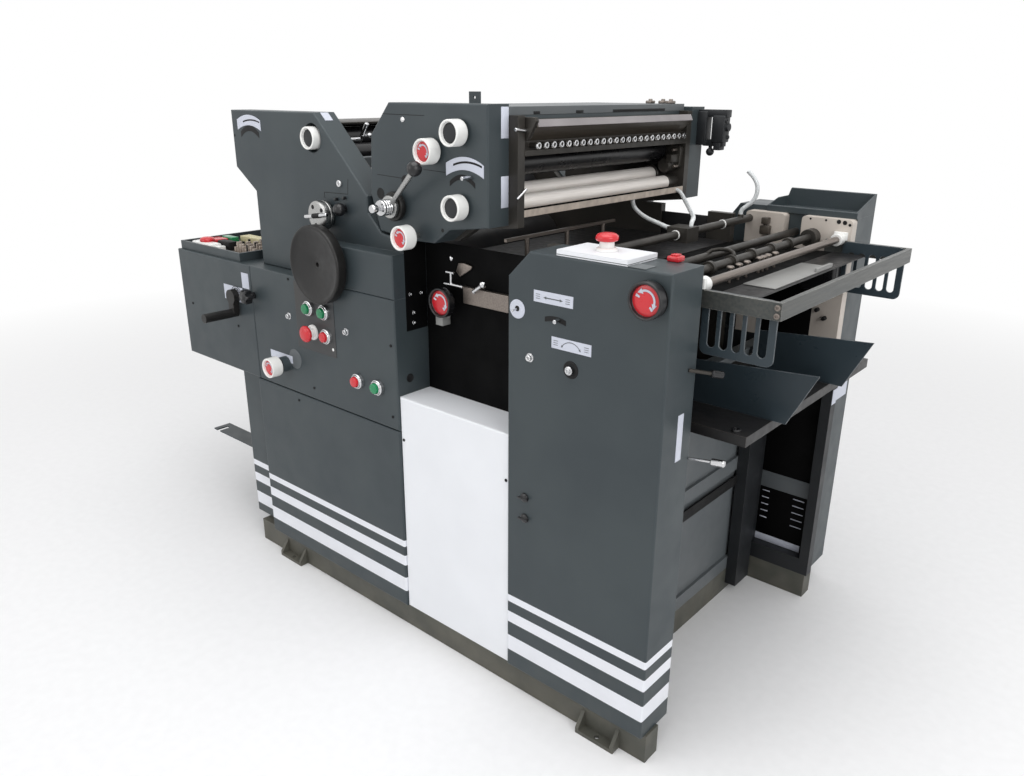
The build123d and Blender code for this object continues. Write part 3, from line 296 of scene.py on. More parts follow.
# Pale arm edges: painted highlight along the arms' top edges, with some worn paint
arm_steel = finish(
    "arm_steel", "machined_steel", (70, 73, 72), (82, 83, 80), (0.28, 0.4), metal=0.4, mottle=30,
    stretch=brush_along_y, wear_and_highlight=(192, 192, 188), wear_and_highlight_share=0.9,
)
# Near black with almost no gloss; the tray gap strip and the far wall sheet use it as painted shade
deep_black = finish("deep_black", "black_plastic", (5, 5, 6), (9, 9, 9), (0.6, 0.8), level=0.08)
lip_grey = finish(
    "lip_grey", "machined_steel", (144, 139, 140), (132, 127, 128), (0.3, 0.42), mottle=12,
)

finish_of_node = {
    "near_lower_cover": slate_striped, "end_strip_cover": slate_striped,
    "near_feeder_cabinet": slate_striped, "cross_panel": slate_pale_and_lit, "roof_and_tie": slate_pale_and_lit,
    "near_side_frame": frame_coat, "far_side_frame": frame_coat, "frame_arms": arm_steel,
    "ink_fountain": fountain_brown, "ink_key_bar": dark_steel, "feeder_rods": dark_steel,
    "feed_board": black_steel, "feed_table": black_steel, "rollers": black_steel,
    "silver_rod": dull_steel, "sheet_guides": dull_steel, "pile_guides": blue_black,
    "slotted_plates": blue_black, "water_tray": beige, "push_buttons": red_gloss,
}
for part in frame["record"]["subparts"]:
    node = frame["nodes"][part["node"]]
    chosen = finish_of_node.get(part["node"], finish_of_slot[part["material_slot"]])
    node.data.materials.clear()
    node.data.materials.append(chosen)


# Drawing
cover_front = -426
sheet_rise = 0.7
label_face = cover_front - sheet_rise
mark_rise = 0.6
seam_width = 1.1
seam_rise = 0.25
arch_steps = 16
ball_steps = 14
sharp_angle = math.radians(35)


def node_box(node):
    low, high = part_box(node)
    return low / mm, high / mm


def round_node(node):
    """Middle, radius, front and back of a round node that faces the operator."""
    low, high = node_box(node)
    return (low.x + high.x) / 2, (low.z + high.z) / 2, (high.x - low.x) / 2, low.y, high.y


def rounded(points, radius, steps=4):
    """The outline with each corner turned into an arc of about that radius."""
    result = []
    count = len(points)
    for i in range(count):
        here = Vector(points[i])
        before = Vector(points[i - 1]) - here
        after = Vector(points[(i + 1) % count]) - here
        reach = min(radius, before.length * 0.49, after.length * 0.49)
        start = here + before.normalized() * reach
        end = here + after.normalized() * reach
        for j in range(steps + 1):
            t = j / steps
            spot = start * (1 - t) ** 2 + here * 2 * t * (1 - t) + end * t ** 2
            result.append(tuple(spot))
    return result


def polar(x, z, reaches):
    """An outline with corners at even angles, each at its own distance from the middle."""
    turns = [2 * math.pi * i / len(reaches) for i in range(len(reaches))]
    return [(x + r * math.cos(a), z + r * math.sin(a)) for r, a in zip(reaches, turns)]


def circle(x, z, radius, count=32):
    return polar(x, z, [radius] * count)


def band(x, z, inner, outer, start, end, count=20):
    """The outline of a piece of a ring, angles in degrees from +X towards +Z."""
    turns = [math.radians(start + (end - start) * i / count) for i in range(count + 1)]
    outside = [(x + outer * math.cos(a), z + outer * math.sin(a)) for a in turns]
    inside = [(x + inner * math.cos(a), z + inner * math.sin(a)) for a in reversed(turns)]
    return outside + inside


def rectangle(left, right, low, high):
    return [(left, low), (right, low), (right, high), (left, high)]


def arch(x, z, half, rise, thick):
    """The outline of a bowed strip: its ends at z, its middle higher by the rise."""
    steps = [2 * i / arch_steps - 1 for i in range(arch_steps + 1)]
    top = [(x + half * t, z + rise * (1 - t * t)) for t in steps]
    return top + [(a, b - thick) for a, b in reversed(top)]


def add_piece(name, data, material, body, stands_for):
    data.materials.append(material)
    made = add_object(name, data)
    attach(made, body)
    if stands_for:
        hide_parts(*stands_for)
    return made


class Sketch:
    """A mesh in the making, drawn in millimetres and turned into a piece at the end."""

    def __init__(self):
        self.mesh = bmesh.new()

    def ring(self, middle, side, other, radius, sides):
        spots = []
        for i in range(sides):
            turn = 2 * math.pi * i / sides
            reach = side * math.cos(turn) + other * math.sin(turn)
            spots.append(self.mesh.verts.new(middle + reach * radius))
        return spots

    def skin(self, pairs, sides):
        """Faces between rings, where a ring may be a single point."""
        for first, second in pairs:
            for i in range(sides):
                j = (i + 1) % sides
                corners = [first[i % len(first)], first[j % len(first)]]
                corners += [second[j % len(second)], second[i % len(second)]]
                kept = list(dict.fromkeys(corners))
                if len(kept) > 2:
                    self.mesh.faces.new(kept)

    def soften(self, edges, reach, steps=2):
        """Rounded edges, each taken once and in the order given, so that each run is the same."""
        edges = list(dict.fromkeys(edges))
        bmesh.ops.bevel(
            self.mesh, geom=edges, offset=reach, segments=steps, profile=0.5, affect="EDGES"
        )

    def box(self, low, high, soft=0, steps=2):
        low = Vector(low)
        high = Vector(high)
        size = high - low
        place = Matrix.Translation((low + high) / 2) @ Matrix.Diagonal((*size, 1.0))
        made = bmesh.ops.create_cube(self.mesh, size=1.0, matrix=place)
        if soft > 0:
            edges = [edge for vert in made["verts"] for edge in vert.link_edges]
            self.soften(edges, min(soft, 0.45 * min(size)), steps)
        return self

    def lathe(self, profile, centre, way=front_way, sides=48, closed=False):
        """A turned shape: (radius, distance along the way) from the centre."""
        way = Vector(way).normalized()
        side = way.orthogonal().normalized()
        other = way.cross(side)
        rings = []
        for radius, along in profile:
            middle = Vector(centre) + way * along
            if radius == 0:
                rings.append([self.mesh.verts.new(middle)])
                continue
            rings.append(self.ring(middle, side, other, radius, sides))
        pairs = list(zip(rings, rings[1:]))
        if closed:
            pairs.append((rings[-1], rings[0]))
        self.skin(pairs, sides)
        return self

    def prism(self, outline, low, high, soft=0, axis="Y"):
        """An outline pushed from low to high along an axis: (x, z) for Y, (y, z) for X."""
        def spot(point, level):
            first, second = point
            return (first, level, second) if axis == "Y" else (level, first, second)

        bottom = [self.mesh.verts.new(spot(p, low)) for p in outline]
        top = [self.mesh.verts.new(spot(p, high)) for p in outline]
        count = len(outline)
        faces = [self.mesh.faces.new(bottom), self.mesh.faces.new(list(reversed(top)))]
        for i in range(count):
            j = (i + 1) % count
            faces.append(self.mesh.faces.new([bottom[i], top[i], top[j], bottom[j]]))
        if soft > 0:
            self.soften([edge for face in faces[:2] for edge in face.edges], soft)
        return self

    def tube(self, points, radius, sides=14):
        """A round bar through the points, with flat ends."""
        points = [Vector(p) for p in points]
        rings = []
        side = None
        for i, here in enumerate(points):
            before = points[max(i - 1, 0)]
            after = points[min(i + 1, len(points) - 1)]
            way = (after - before).normalized()
            if side is None:
                side = way.orthogonal().normalized()
            else:
                side = (side - way * side.dot(way)).normalized()
            rings.append(self.ring(here, side, way.cross(side), radius, sides))
        self.skin(zip(rings, rings[1:]), sides)
        self.mesh.faces.new(list(reversed(rings[0])))
        self.mesh.faces.new(rings[-1])
        return self

    def bar(self, start, end, radius, soft=1):
        """A round bar with softened ends."""
        start = Vector(start)
        way = Vector(end) - start
        length = way.length
        profile = [
            (0, 0), (radius - soft, 0), (radius, soft), (radius, length - soft),
            (radius - soft, length), (0, length),
        ]
        return self.lathe(profile, start, way, sides=20)

    def ball(self, centre, radius):
        turns = [math.pi * i / ball_steps for i in range(1, ball_steps)]
        profile = [(radius * math.sin(a), radius * math.cos(a)) for a in turns]
        return self.lathe([(0, radius)] + profile + [(0, -radius)], centre, sides=28)

    def dome(self, centre, radius, rise):
        """A low round head or a plug in a hole."""
        profile = [
            (0, rise), (radius * 0.5, rise * 0.92), (radius * 0.85, rise * 0.6), (radius, 0), (0, 0),
        ]
        return self.lathe(profile, centre, sides=24)

    def cap_screw(self, centre, way=front_way, radius=6.5, rise=5):
        """A socket screw: round head with a hollow in it."""
        hollow = radius * 0.5
        profile = [
            (0, rise * 0.35), (hollow, rise * 0.35), (hollow, rise * 0.95), (hollow * 1.15, rise),
            (radius * 0.8, rise), (radius * 0.95, rise * 0.9), (radius, rise * 0.7), (radius, 0), (0, 0),
        ]
        return self.lathe(profile, centre, way, sides=20)

    def on_front(self, outline, level=cover_front, rise=sheet_rise):
        """A thin plate on a face that looks to the operator, outline in (x, z)."""
        return self.prism(outline, level - rise, level)

    def on_side(self, outline, level, rise=sheet_rise):
        """A thin plate on a face that looks to the feeder end, outline in (y, z)."""
        return self.prism(outline, level, level + rise, axis="X")

    def seam(self, points, level):
        """A thin line on a face that looks to the operator, through (x, z) points."""
        spots = [Vector(point) for point in points]
        for start, end in zip(spots, spots[1:]):
            along = end - start
            side = Vector((-along.y, along.x)).normalized() * seam_width / 2
            self.on_front([start - side, end - side, end + side, start + side], level, seam_rise)
        return self

    def arrow_head(self, x, z, level, radius, angle, size, way):
        """A small triangle on a circle, pointing along it: way 1 anticlockwise, -1 clockwise."""
        turn = math.radians(angle)
        out = Vector((math.cos(turn), math.sin(turn)))
        along = Vector((-math.sin(turn), math.cos(turn))) * way
        root = Vector((x, z)) + out * radius
        corners = [root + out * size / 2, root + along * size, root - out * size / 2]
        return self.prism(corners, level, level + mark_rise)

    def arc_arrows(self, x, z, level, radius, width, start=-12, end=112):
        """An arc with a head at both ends and two short strokes, on a face that looks to the operator."""
        outline = band(x, z, radius - width / 2, radius + width / 2, start, end)
        self.prism(outline, level, level + mark_rise)
        self.arrow_head(x, z, level, radius, end, 2.6 * width, 1)
        self.arrow_head(x, z, level, radius, start, 2.6 * width, -1)
        for angle in (start - 34, end + 44):
            stroke = band(x, z, radius * 0.72, radius * 1.18, angle - 7, angle + 7, 4)
            self.prism(stroke, level, level + mark_rise)
        return self

    def piece(self, name, material, body="machine", stands_for=()):
        bmesh.ops.recalc_face_normals(self.mesh, faces=self.mesh.faces[:])
        bmesh.ops.scale(self.mesh, vec=(mm, mm, mm), verts=self.mesh.verts[:])
        data = bpy.data.meshes.new(name)
        self.mesh.to_mesh(data)
        self.mesh.free()
        data.polygons.foreach_set("use_smooth", [True] * len(data.polygons))
        data.set_sharp_from_angle(angle=sharp_angle)
        add_piece(name, data, material, body, stands_for)


# Hoses
hose_diameter = 10
drain_route = [
    (224, 283, 1047), (232, 283, 1045), (242, 280, 1038), (257, 267, 1029), (278, 242, 1022.5),
    (304, 206, 1019.5), (332, 166, 1018), (360, 126, 1016.5), (383, 91, 1015.5), (396, 68, 1015),
    (401, 56, 1012.5), (402, 50, 1007), (402, 50, 1001),
]
supply_route = [
    (205, 116, 1040), (205, 116, 1034), (207, 115, 1027), (214, 110, 1020), (228, 101, 1014),
    (250, 87, 1008), (280, 69, 1003), (312, 54, 1000), (338, 44, 996), (351, 40, 994), (363, 40, 994),
]
air_route = [
    (388, 314, 999), (388, 314, 1005), (391, 315, 1012), (399, 317.5, 1018.5), (409, 320.5, 1027),
    (417, 323, 1039), (420.5, 324.3, 1054), (419, 324, 1069), (412.5, 322, 1083), (403, 319, 1094),
    (395, 316.6, 1101),
]
hoses = {
    "drain_hose": (drain_route, 0.312, "object", "medium"),
    "supply_hose": (supply_route, 0.192, "object", "medium"),
    "air_hose": (air_route, 0.122, "bare", "stiff"),
}
for node, (route, length, far_end, stiffness) in hoses.items():
    curve = bpy.data.curves.new(node + "_tube", "CURVE")
    curve.dimensions = "3D"
    spline = curve.splines.new("NURBS")
    spline.points.add(len(route) - 1)
    for point, spot in zip(spline.points, route):
        point.co = (*(Vector(spot) * mm), 1.0)
    spline.order_u = 3
    spline.use_endpoint_u = True
    spline.resolution_u = 12
    curve.bevel_depth = hose_diameter / 2 * mm
    curve.bevel_resolution = 6
    curve.use_fill_caps = True
    tube = add_piece(node + "_tube", curve, hose_clear, "machine", (node,))

# Knobs
knob_wall = 5
knob_sink = 6
knob_soft = 2.2
dial_share = 0.62
shaft_radius = 6


def turned_knob(node, skin, dial, marks, length):
    x, z, radius, front, back = round_node(node)
    inner = radius - knob_wall
    profile = rounded(
        [
            (radius - 1.5, -length), (radius, -length + 3), (radius - 0.4, 0), (inner, 0),
            (inner - 0.8, -knob_sink), (inner - 2, -knob_sink - 1), (inner - 2, -length),
        ],
        knob_soft,
    )
    centre = (x, front, z)
    Sketch().lathe(profile, centre, closed=True).piece(node + "_rim", skin, node, (node,))
    profile = [
        (0, -knob_sink - 3), (inner - 1.5, -knob_sink - 3), (inner - 1.5, -length + 1),
        (shaft_radius, -length + 1), (shaft_radius, front - back), (0, front - back),
    ]
    Sketch().lathe(profile, centre).piece(node + "_shaft", steel, node)
    profile = [
        (0, -knob_sink + 1.2), (inner * 0.6, -knob_sink + 0.9), (inner * 0.9, -knob_sink),
        (inner - 1.2, -knob_sink - 0.8), (inner - 1.2, -knob_sink - 3.5), (0, -knob_sink - 3.5),
    ]
    Sketch().lathe(profile, centre).piece(node + "_dial", dial, node)
    if marks is not None:
        arrows = Sketch().arc_arrows(x, z, front + knob_sink - 1.5, inner * dial_share, inner * 0.14)
        arrows.piece(node + "_marks", marks, node)


knob_length = 31
ring_length = 20
plain_face = (white_gloss, dark, None, knob_length)
red_face = (white_gloss, red_gloss, label_white, knob_length)
ring_face = (black_gloss, red_gloss, label_white, ring_length)
knob_faces = {
    "left_unit_knob": plain_face, "ink_top_knob": plain_face, "ink_side_knob": red_face,
    "ink_low_knob": plain_face, "ink_shaft_knob": red_face, "lower_knob": red_face,
    "cabinet_knob": ring_face, "opening_knob": ring_face,
}
for node, face in knob_faces.items():
    turned_knob(node, *face)

# Handwheel
wheel_x, wheel_z, wheel_radius, wheel_front, wheel_back = round_node("handwheel")
wheel_depth = 26
profile = [(0, -18), (5, -18), (5.5, -13), (7, -12.4), (14, -12), (20, -11.2)]
profile += [(83 * s, -11.5 + 9 * s ** 1.5) for s in (0.35, 0.5, 0.65, 0.8, 0.92)]
profile += [
    (82, -1.6), (84.5, -0.5), (88, 0), (90.4, -0.8), (91.7, -2.6), (wheel_radius, -5),
    (wheel_radius, -wheel_depth + 4), (91, -wheel_depth + 1), (89, -wheel_depth), (84, -wheel_depth),
    (82, -wheel_depth + 6), (24, -wheel_depth + 6), (20, -wheel_depth), (12, -wheel_depth),
    (12, wheel_front - wheel_back), (0, wheel_front - wheel_back),
]
shape = Sketch().lathe(profile, (wheel_x, wheel_front, wheel_z), sides=96)
shape.piece("handwheel_disc", iron, "handwheel", ("handwheel",))

# Buttons and emergency stops
lens_radius = 12.4
lens_high = 20.6
green_places = [(-355, 778), (-294, 778), (-109, 632)]
red_places = [(-291, 719), (-181, 631)]
lens_profile = [
    (0, lens_high), (6, lens_high - 0.1), (lens_radius - 2, lens_high - 0.5),
    (lens_radius - 0.6, lens_high - 1.3), (lens_radius, lens_high - 3), (lens_radius, 11), (0, 11),
]
for name, places, colour in (
    ("start_lenses", green_places, green_gloss), ("halt_lenses", red_places, red_gloss),
):
    shape = Sketch()
    for x, z in places:
        shape.lathe(lens_profile, (x, cover_front, z), sides=32)
    shape.piece(name, colour)
bezel_profile = [
    (12.6, 9), (13.2, 13.6), (14.4, 14.2), (15.6, 13.6), (16.4, 11), (18.6, 9.6), (19.4, 3),
    (19.4, 0.1), (12.6, 0.1),
]
shape = Sketch()
for x, z in green_places + red_places:
    shape.lathe(bezel_profile, (x, cover_front, z), sides=36, closed=True)
shape.piece("button_bezels", chrome, stands_for=("push_buttons",))

stop_places = [
    ((-349, cover_front, 718), front_way), ((475.5, -377.5, 1014), up_way), ((-900, -375, 851), up_way),
]
head_profile = [
    (0, 32.4), (8, 32.2), (13, 31.4), (17, 29.8), (19.8, 27), (20.6, 23.6), (20.2, 20.4), (18.6, 18.6),
    (15, 17.6), (0, 17.6),
]
collar_profile = [
    (0, 17.8), (12.6, 17.8), (13.2, 16), (13.6, 7), (17, 6), (19, 4.4), (19.4, 0.1), (0, 0.1),
]
for name, profile, colour in (
    ("stop_heads", head_profile, red_gloss), ("stop_collars", collar_profile, white_gloss),
):
    shape = Sketch()
    for spot, way in stop_places:
        shape.lathe(profile, spot, way)
    shape.piece(name, colour)

# Left unit
unit_front = -386
Sketch().on_front(arch(-610, 1207, 51.5, 12.5, 25), unit_front).piece("left_unit_scale", label_white)
shape = Sketch().on_front(arch(-598, 1204, 36, 5, 3.4), unit_front, 1)
shape.on_front(arch(-609, 1178, 40, 16, 13), unit_front, 0.4)
left_seam = [(-319, 1040), (-320, 1054), (-233, 1056), (-229, 1090)]
shape.seam(left_seam, unit_front)
# The disc of radius 23 is painted shade: the dark bore behind the left unit knob
for x, z, radius in ((-352, 1172, 23), (-680, 1168, 3), (-383, 1194, 3)):
    shape.on_front(circle(x, z, radius), unit_front, 0.3)
shape.piece("left_unit_slots_and_hole_shade", black_matt)
Sketch().cap_screw((-259, unit_front, 1078), radius=8).piece("left_unit_screw", chrome)
ball_x = -246
ball_z = 1022
shape = Sketch().ball((ball_x, unit_front - 16, ball_z), 15)
shape.bar((ball_x, unit_front, ball_z), (ball_x, unit_front - 8, ball_z), 9)
for x, z in ((-272, 1042), (-242, 1047)):
    shape.bar((x, unit_front, z), (x, unit_front - 9, z), 3.5)
shape.piece("left_unit_ball", black_gloss)

# Chuck hub
low, high = node_box("chuck_hub")
chuck_x = -309
chuck_z = 1004
chuck_radius = (high.z - low.z) / 2
chuck_back = -391
chuck_length = 30
bar_half = (high.x - low.x) / 2
bar_radius = 5
bar_turn = math.radians(8)
profile = [
    (0, chuck_length), (26, chuck_length), (31, chuck_length - 0.6), (33.4, chuck_length - 2),
    (chuck_radius, chuck_length - 4), (chuck_radius, 15), (32.5, 14), (32.5, 12),
    (chuck_radius - 0.5, 11), (chuck_radius - 0.5, 5), (30, 3), (28, 0), (14, 0),
    (14, chuck_back - high.y), (0, chuck_back - high.y),
]
shape = Sketch().lathe(profile, (chuck_x, chuck_back, chuck_z), sides=64)
shape.piece("chuck_body", steel, "chuck_hub", ("chuck_hub",))
chuck_face = chuck_back - chuck_length
reach = Vector((math.cos(bar_turn), 0, math.sin(bar_turn)))
chuck_centre = Vector((chuck_x, chuck_face - 1, chuck_z))
shape = Sketch().bar(chuck_centre - reach * bar_half, chuck_centre + reach * bar_half, bar_radius, 1.5)
shape.piece("chuck_bar", chrome, "chuck_hub")
shape = Sketch().bar(chuck_centre - reach * 12, chuck_centre + reach * 16, bar_radius + 0.8, 0.8)
for x, z in ((-12, 19), (20, 14), (-4, -22)):
    shape.on_front(circle(chuck_x + x, chuck_z + z, 5, 20), chuck_face, 0.3)
shape.piece("chuck_sleeve", black_matt, "chuck_hub")

# Pressure lever
lever_x = -63
lever_z = 1045
lever_base = unit_front - 5
lever_centre = (lever_x, lever_base, lever_z)
Sketch().ball((55, -443, 1133), 15.4).piece("lever_ball", black_gloss, "pressure_lever")
profile = [(0, -17), (12, -17), (12, 0.1), (30, 0.1), (31, 1.5), (31, 10), (29.6, 12.4), (0, 12.6)]
Sketch().lathe(profile, lever_centre).piece("lever_disc", iron, "pressure_lever", ("pressure_lever",))
profile = [(0, 12.7), (15, 12.7), (15, 22)]
profile += [(17 - 1.2 * (ridge % 2), 24 + 3 * ridge) for ridge in range(7)]
profile += [
    (17, 44), (15.6, 46), (6, 46), (6, 54), (8.6, 55), (9, 57), (9, 67), (7.6, 69), (0, 69.4),
]
shape = Sketch().lathe(profile, lever_centre, sides=40)
shape.dome((lever_x - 14, lever_base - 12.5, lever_z + 18), 5, rise=4)
shape.piece("lever_shaft", chrome, "pressure_lever")
arm_root = (-51, -412, 1055)
arm_tip = (50, -441, 1129)
shape = Sketch().bar(arm_root, arm_tip, 6)
profile = [(15.2, 13), (23, 13), (24, 14), (24, 21), (23, 22), (15.2, 22)]
shape.lathe(profile, lever_centre, closed=True).piece("lever_arm", steel, "pressure_lever")

# Ink unit cover
Sketch().on_front(arch(138, 1143, 51.5, 14, 25), unit_front).piece("ink_unit_scale", label_white)
shape = Sketch().on_front(arch(146, 1142, 39, 7, 4), unit_front, 1)
shape.on_front(arch(131, 1108, 35, 15, 10), unit_front, 0.4)
shape.seam([(-126, 1107), (-47, 1104)], unit_front)
shape.seam([(20, 1126), (86, 1124)], unit_front)
shape.seam([(-100, 1232), (27, 1231)], unit_front)
for x, z, radius in ((-37, 1100, 11), (-118, 1067, 12), (72, 1007, 4)):
    shape.on_front(circle(x, z, radius), unit_front, 0.3)
shape.piece("ink_unit_slots", black_matt)
shape = Sketch().bar((158, unit_front, 1119), (158, unit_front - 30, 1119), 4)
shape.dome((-38, unit_front, 1222), 6, rise=2.5).piece("ink_unit_pins", chrome)
strip_near = -349
strip_far = -327
ink_right = 200
shape = Sketch()
for low_z, high_z in ((1192, 1250), (1060, 1121)):
    shape.box((ink_right, strip_near, low_z), (ink_right + sheet_rise, strip_far, high_z), 0.3)
shape.piece("ink_unit_strips", label_white)

# Middle cover
black_dots = [
    (-439, 837), (-61, 741), (-365, 568), (-437, 517), (-65, 569), (-931, 694), (-695, 669),
]
shape = Sketch()
for x, z in black_dots:
    shape.cap_screw((x, cover_front, z), radius=3.4, rise=1.6)
shape.piece("cover_screws", black_matt)
shape = Sketch()
for x, z in ((-449, 741), (-220, 743), (343, 800)):
    shape.lathe([(0, 1), (8.6, 1), (9, 0.4), (9, 0), (0, 0)], (x, cover_front, z), sides=24)
    shape.cap_screw((x, cover_front - 1, z), radius=6.4, rise=6)
shape.piece("cover_cap_screws", chrome)
Sketch().on_front(rounded(rectangle(-416, -262, 668, 838), 4), rise=0.8).piece("button_panel", panel_brown)
Sketch().dome((-274, cover_front, 688), 4.4, rise=2).piece("cover_dot", white_gloss)
Sketch().on_front(rectangle(-547, -449, 614, 634)).piece("lower_knob_label", label_white)
Sketch().on_front(circle(-437, 630, 26), rise=0.5).piece("lower_knob_disc", slate_pale_and_lit)
profile = [(0, 0.6), (8, 0.7), (9.4, 1.2), (10.4, 0.8), (10.4, 0), (0, 0)]
Sketch().lathe(profile, (-45, -387, 659), right_way, sides=28).piece("side_hole", black_matt)

# Delivery cover
shape = Sketch().on_front(rectangle(-653, -620, 782, 824))
shape.on_front(rectangle(-747, -655, 739, 780)).piece("crank_labels", label_white)
shape = Sketch()
for radius in (20, 25):
    shape.on_front(band(-686, 755, radius, radius + 1.6, 20, 160), label_face, 0.3)
shape.piece("crank_label_arcs", black_matt)
star_x = -600
star_z = 770
star_lobes = 6
star_corners = 72
lobe_turn = star_lobes * 2 * math.pi / star_corners
star_outline = polar(star_x, star_z, [16.5 + 3.5 * math.cos(lobe_turn * i) for i in range(star_corners)])
shape = Sketch().prism(star_outline, cover_front - 34, cover_front - 14, 2)
shape.bar((star_x, cover_front, star_z), (star_x, cover_front - 15, star_z), 9)
shape.dome((star_x, cover_front - 34, star_z), 9, rise=3).piece("delivery_star_knob", black_gloss)

# Console tray
tray_floor = 851
shape = Sketch().box((-948, -399, tray_floor), (-842, -364, tray_floor + 20), 6, 3)
shape.box((-838, -392, tray_floor), (-815, -368, tray_floor + 16), 3)
shape.piece("tray_switch_box", white_gloss)
Sketch().box((-966, -346, tray_floor), (-916, -300, tray_floor + 17), 2).piece("tray_red_block", red_gloss)
shape = Sketch().box((-960, -296, tray_floor), (-905, -272, tray_floor + 19), 2)
shape.piece("tray_green_block", green_gloss)
shape = Sketch().box((-872, -361, tray_floor), (-812, -334, tray_floor + 24), 1.5)
shape.box((-866, -334, tray_floor), (-818, -310, tray_floor + 14), 1).piece("tray_relay", black_matt)
shape = Sketch()
for row in range(3):
    for place in range(9):
        x = -800 + 13 * place + 4 * row
        y = -352 + 34 * row
        tall = 13 + 5 * ((place * 3 + row * 2) % 4)
        shape.box((x, y, tray_floor), (x + 6, y + 15, tray_floor + tall), 0.8)
shape.piece("tray_terminals", beige)
Sketch().box((-966, -405, tray_floor), (-681, 120, tray_floor + 0.8), 0.2).piece("tray_bed", dull_steel)
shape = Sketch().box((-905, -268, tray_floor + 0.8), (-730, -235, tray_floor + 22), 1)
shape.piece("tray_card", pale_yellow)
shape = Sketch()
for x, y in ((-793, -330), (-752, -318), (-735, -354), (-812, -300)):
    shape.box((x, y, tray_floor), (x + 5, y + 6, tray_floor + 26), 0.8)
shape.piece("tray_posts", black_matt)

# Feeder cabinet front
# The black disc of radius 31 is painted shade in the bore behind the cabinet knob
shape = Sketch().on_front(circle(603, 956, 31, 48), rise=0.4)
shape.on_front(rounded(arch(402.5, 887, 24.5, 4, 9.5), 4, 2), rise=0.5)
shape.on_front(circle(311, 891, 5.4), label_face, 0.3)
profile = [(9, 0.5), (14, 1.4), (16.4, 1.2), (17, 0), (9, 0)]
shape.lathe(profile, (441, cover_front, 797), sides=36, closed=True).piece("cabinet_holes_and_shade", black_matt)
shape = Sketch().on_front(rectangle(351, 442, 912, 934))
shape.on_front(rectangle(395, 485.5, 831, 853))
shape.on_front(circle(311, 890, 18.6, 40)).piece("cabinet_labels", label_white)
shape = Sketch().on_front(rectangle(381, 412, 921.4, 923.4), label_face, 0.2)
for x, way in ((381, -1), (412, 1)):
    head = [(x, 919.6), (x + way * 7, 922.4), (x, 925.2)]
    shape.on_front(head, label_face, 0.2)
shape.on_front(band(440, 824, 24, 25.4, 38, 142), label_face, 0.2)
shape.arrow_head(440, 824, label_face - 0.2, 24.7, 142, 5, 1)
shape.arrow_head(440, 824, label_face - 0.2, 24.7, 38, 5, -1)
for x, z in ((361, 923), (430, 923), (405, 842), (475, 842)):
    for step in (-4, 0, 4):
        shape.on_front(rectangle(x - 5, x + 5, z + step - 0.5, z + step + 0.5), label_face, 0.2)
shape.piece("cabinet_label_marks", slate_pale_and_lit)
shape = Sketch().bar((411, cover_front, 886), (411, cover_front - 15, 885), 4.2)
shape.bar((311, cover_front, 891), (311, cover_front - 16, 889), 2)
shape.bar((441, cover_front, 797), (441, cover_front - 9, 797), 8.5)
shape.cap_screw((441, cover_front - 9, 797), radius=5.5, rise=3).piece("cabinet_pins", chrome)
shape = Sketch()
for x, z in ((334, 499), (335, 452)):
    shape.lathe([(0, 6), (6, 5.6), (9.5, 3), (10, 0), (0, 0)], (x, cover_front, z), sides=28)
    shape.box((x - 13, cover_front - 9, z - 2.2), (x + 13, cover_front - 4, z + 2.2), 1.4)
shape.piece("cabinet_latches", black_gloss)
Sketch().box((399.4, -424.5, 1005.2), (551.5, -331, 1006.4), 0.2).piece("top_plate_joint", slate_pale_and_lit)

# Side opening
opening_face = -327
rail_face = -345
shape = Sketch().on_front(rectangle(-44, 286, 623, 968), -326, 1)
shape.on_side(rectangle(-391, -328, 770, 966), -45, 1).piece("opening_back_plate", deep_black)
shape = Sketch()
for y, z in ((-379, 854), (-346, 852), (-371, 811), (-371, 787)):
    shape.cap_screw((-44, y, z), right_way, 5, 3)
shape.dome((35, opening_face, 936), 6, rise=3)
shape.bar((31, rail_face, 884), (87, rail_face, 884), 3.4)
shape.bar((52, rail_face, 884), (52, rail_face, 910), 3)
shape.bar((37, rail_face, 910), (61, rail_face, 910), 3)
for x in (40, 80):
    shape.bar((x, opening_face, 884), (x, rail_face, 884), 3)
shape.bar((119, opening_face, 879), (119, -346, 879), 5)
shape.bar((119, -346, 879), (150, -350, 899), 4)
shape.ball((151, -350, 900), 8).piece("opening_fittings", chrome)
outline = [(54, 912), (62, 930), (78, 932), (102, 928), (98, 921), (66, 901)]
Sketch().prism(outline, -332, opening_face, 0.8).piece("opening_bracket", dull_steel)
Sketch().box((8, -352, 788), (30, opening_face, 812), 1.2).piece("opening_block", grey_coat)

# Rollers inside both units
frame_near = -306
frame_far = 314
frame_gap = frame_far - frame_near
journal_length = 14
journal_share = 0.4
ink_train = [
    (152, 1139, 26), (100, 1183, 28), (38, 1152, 28), (88, 1126, 22), (-20, 1135, 31), (20, 1205, 22),
    (160, 1204, 20),
]
left_train = [
    (-590, 1166, 26), (-524, 1160, 28), (-456, 1164, 27), (-400, 1130, 24), (-490, 1104, 22),
]
shape = Sketch()
for x, z, radius in ink_train + left_train:
    journal = radius * journal_share
    far_end = frame_gap - journal_length
    profile = [
        (0, 0), (journal, 0), (journal, journal_length), (radius - 1, journal_length),
        (radius, journal_length + 1), (radius, far_end - 1), (radius - 1, far_end), (journal, far_end),
        (journal, frame_gap), (0, frame_gap),
    ]
    shape.lathe(profile, (x, frame_far, z))
shape.piece("ink_rollers", black_gloss)

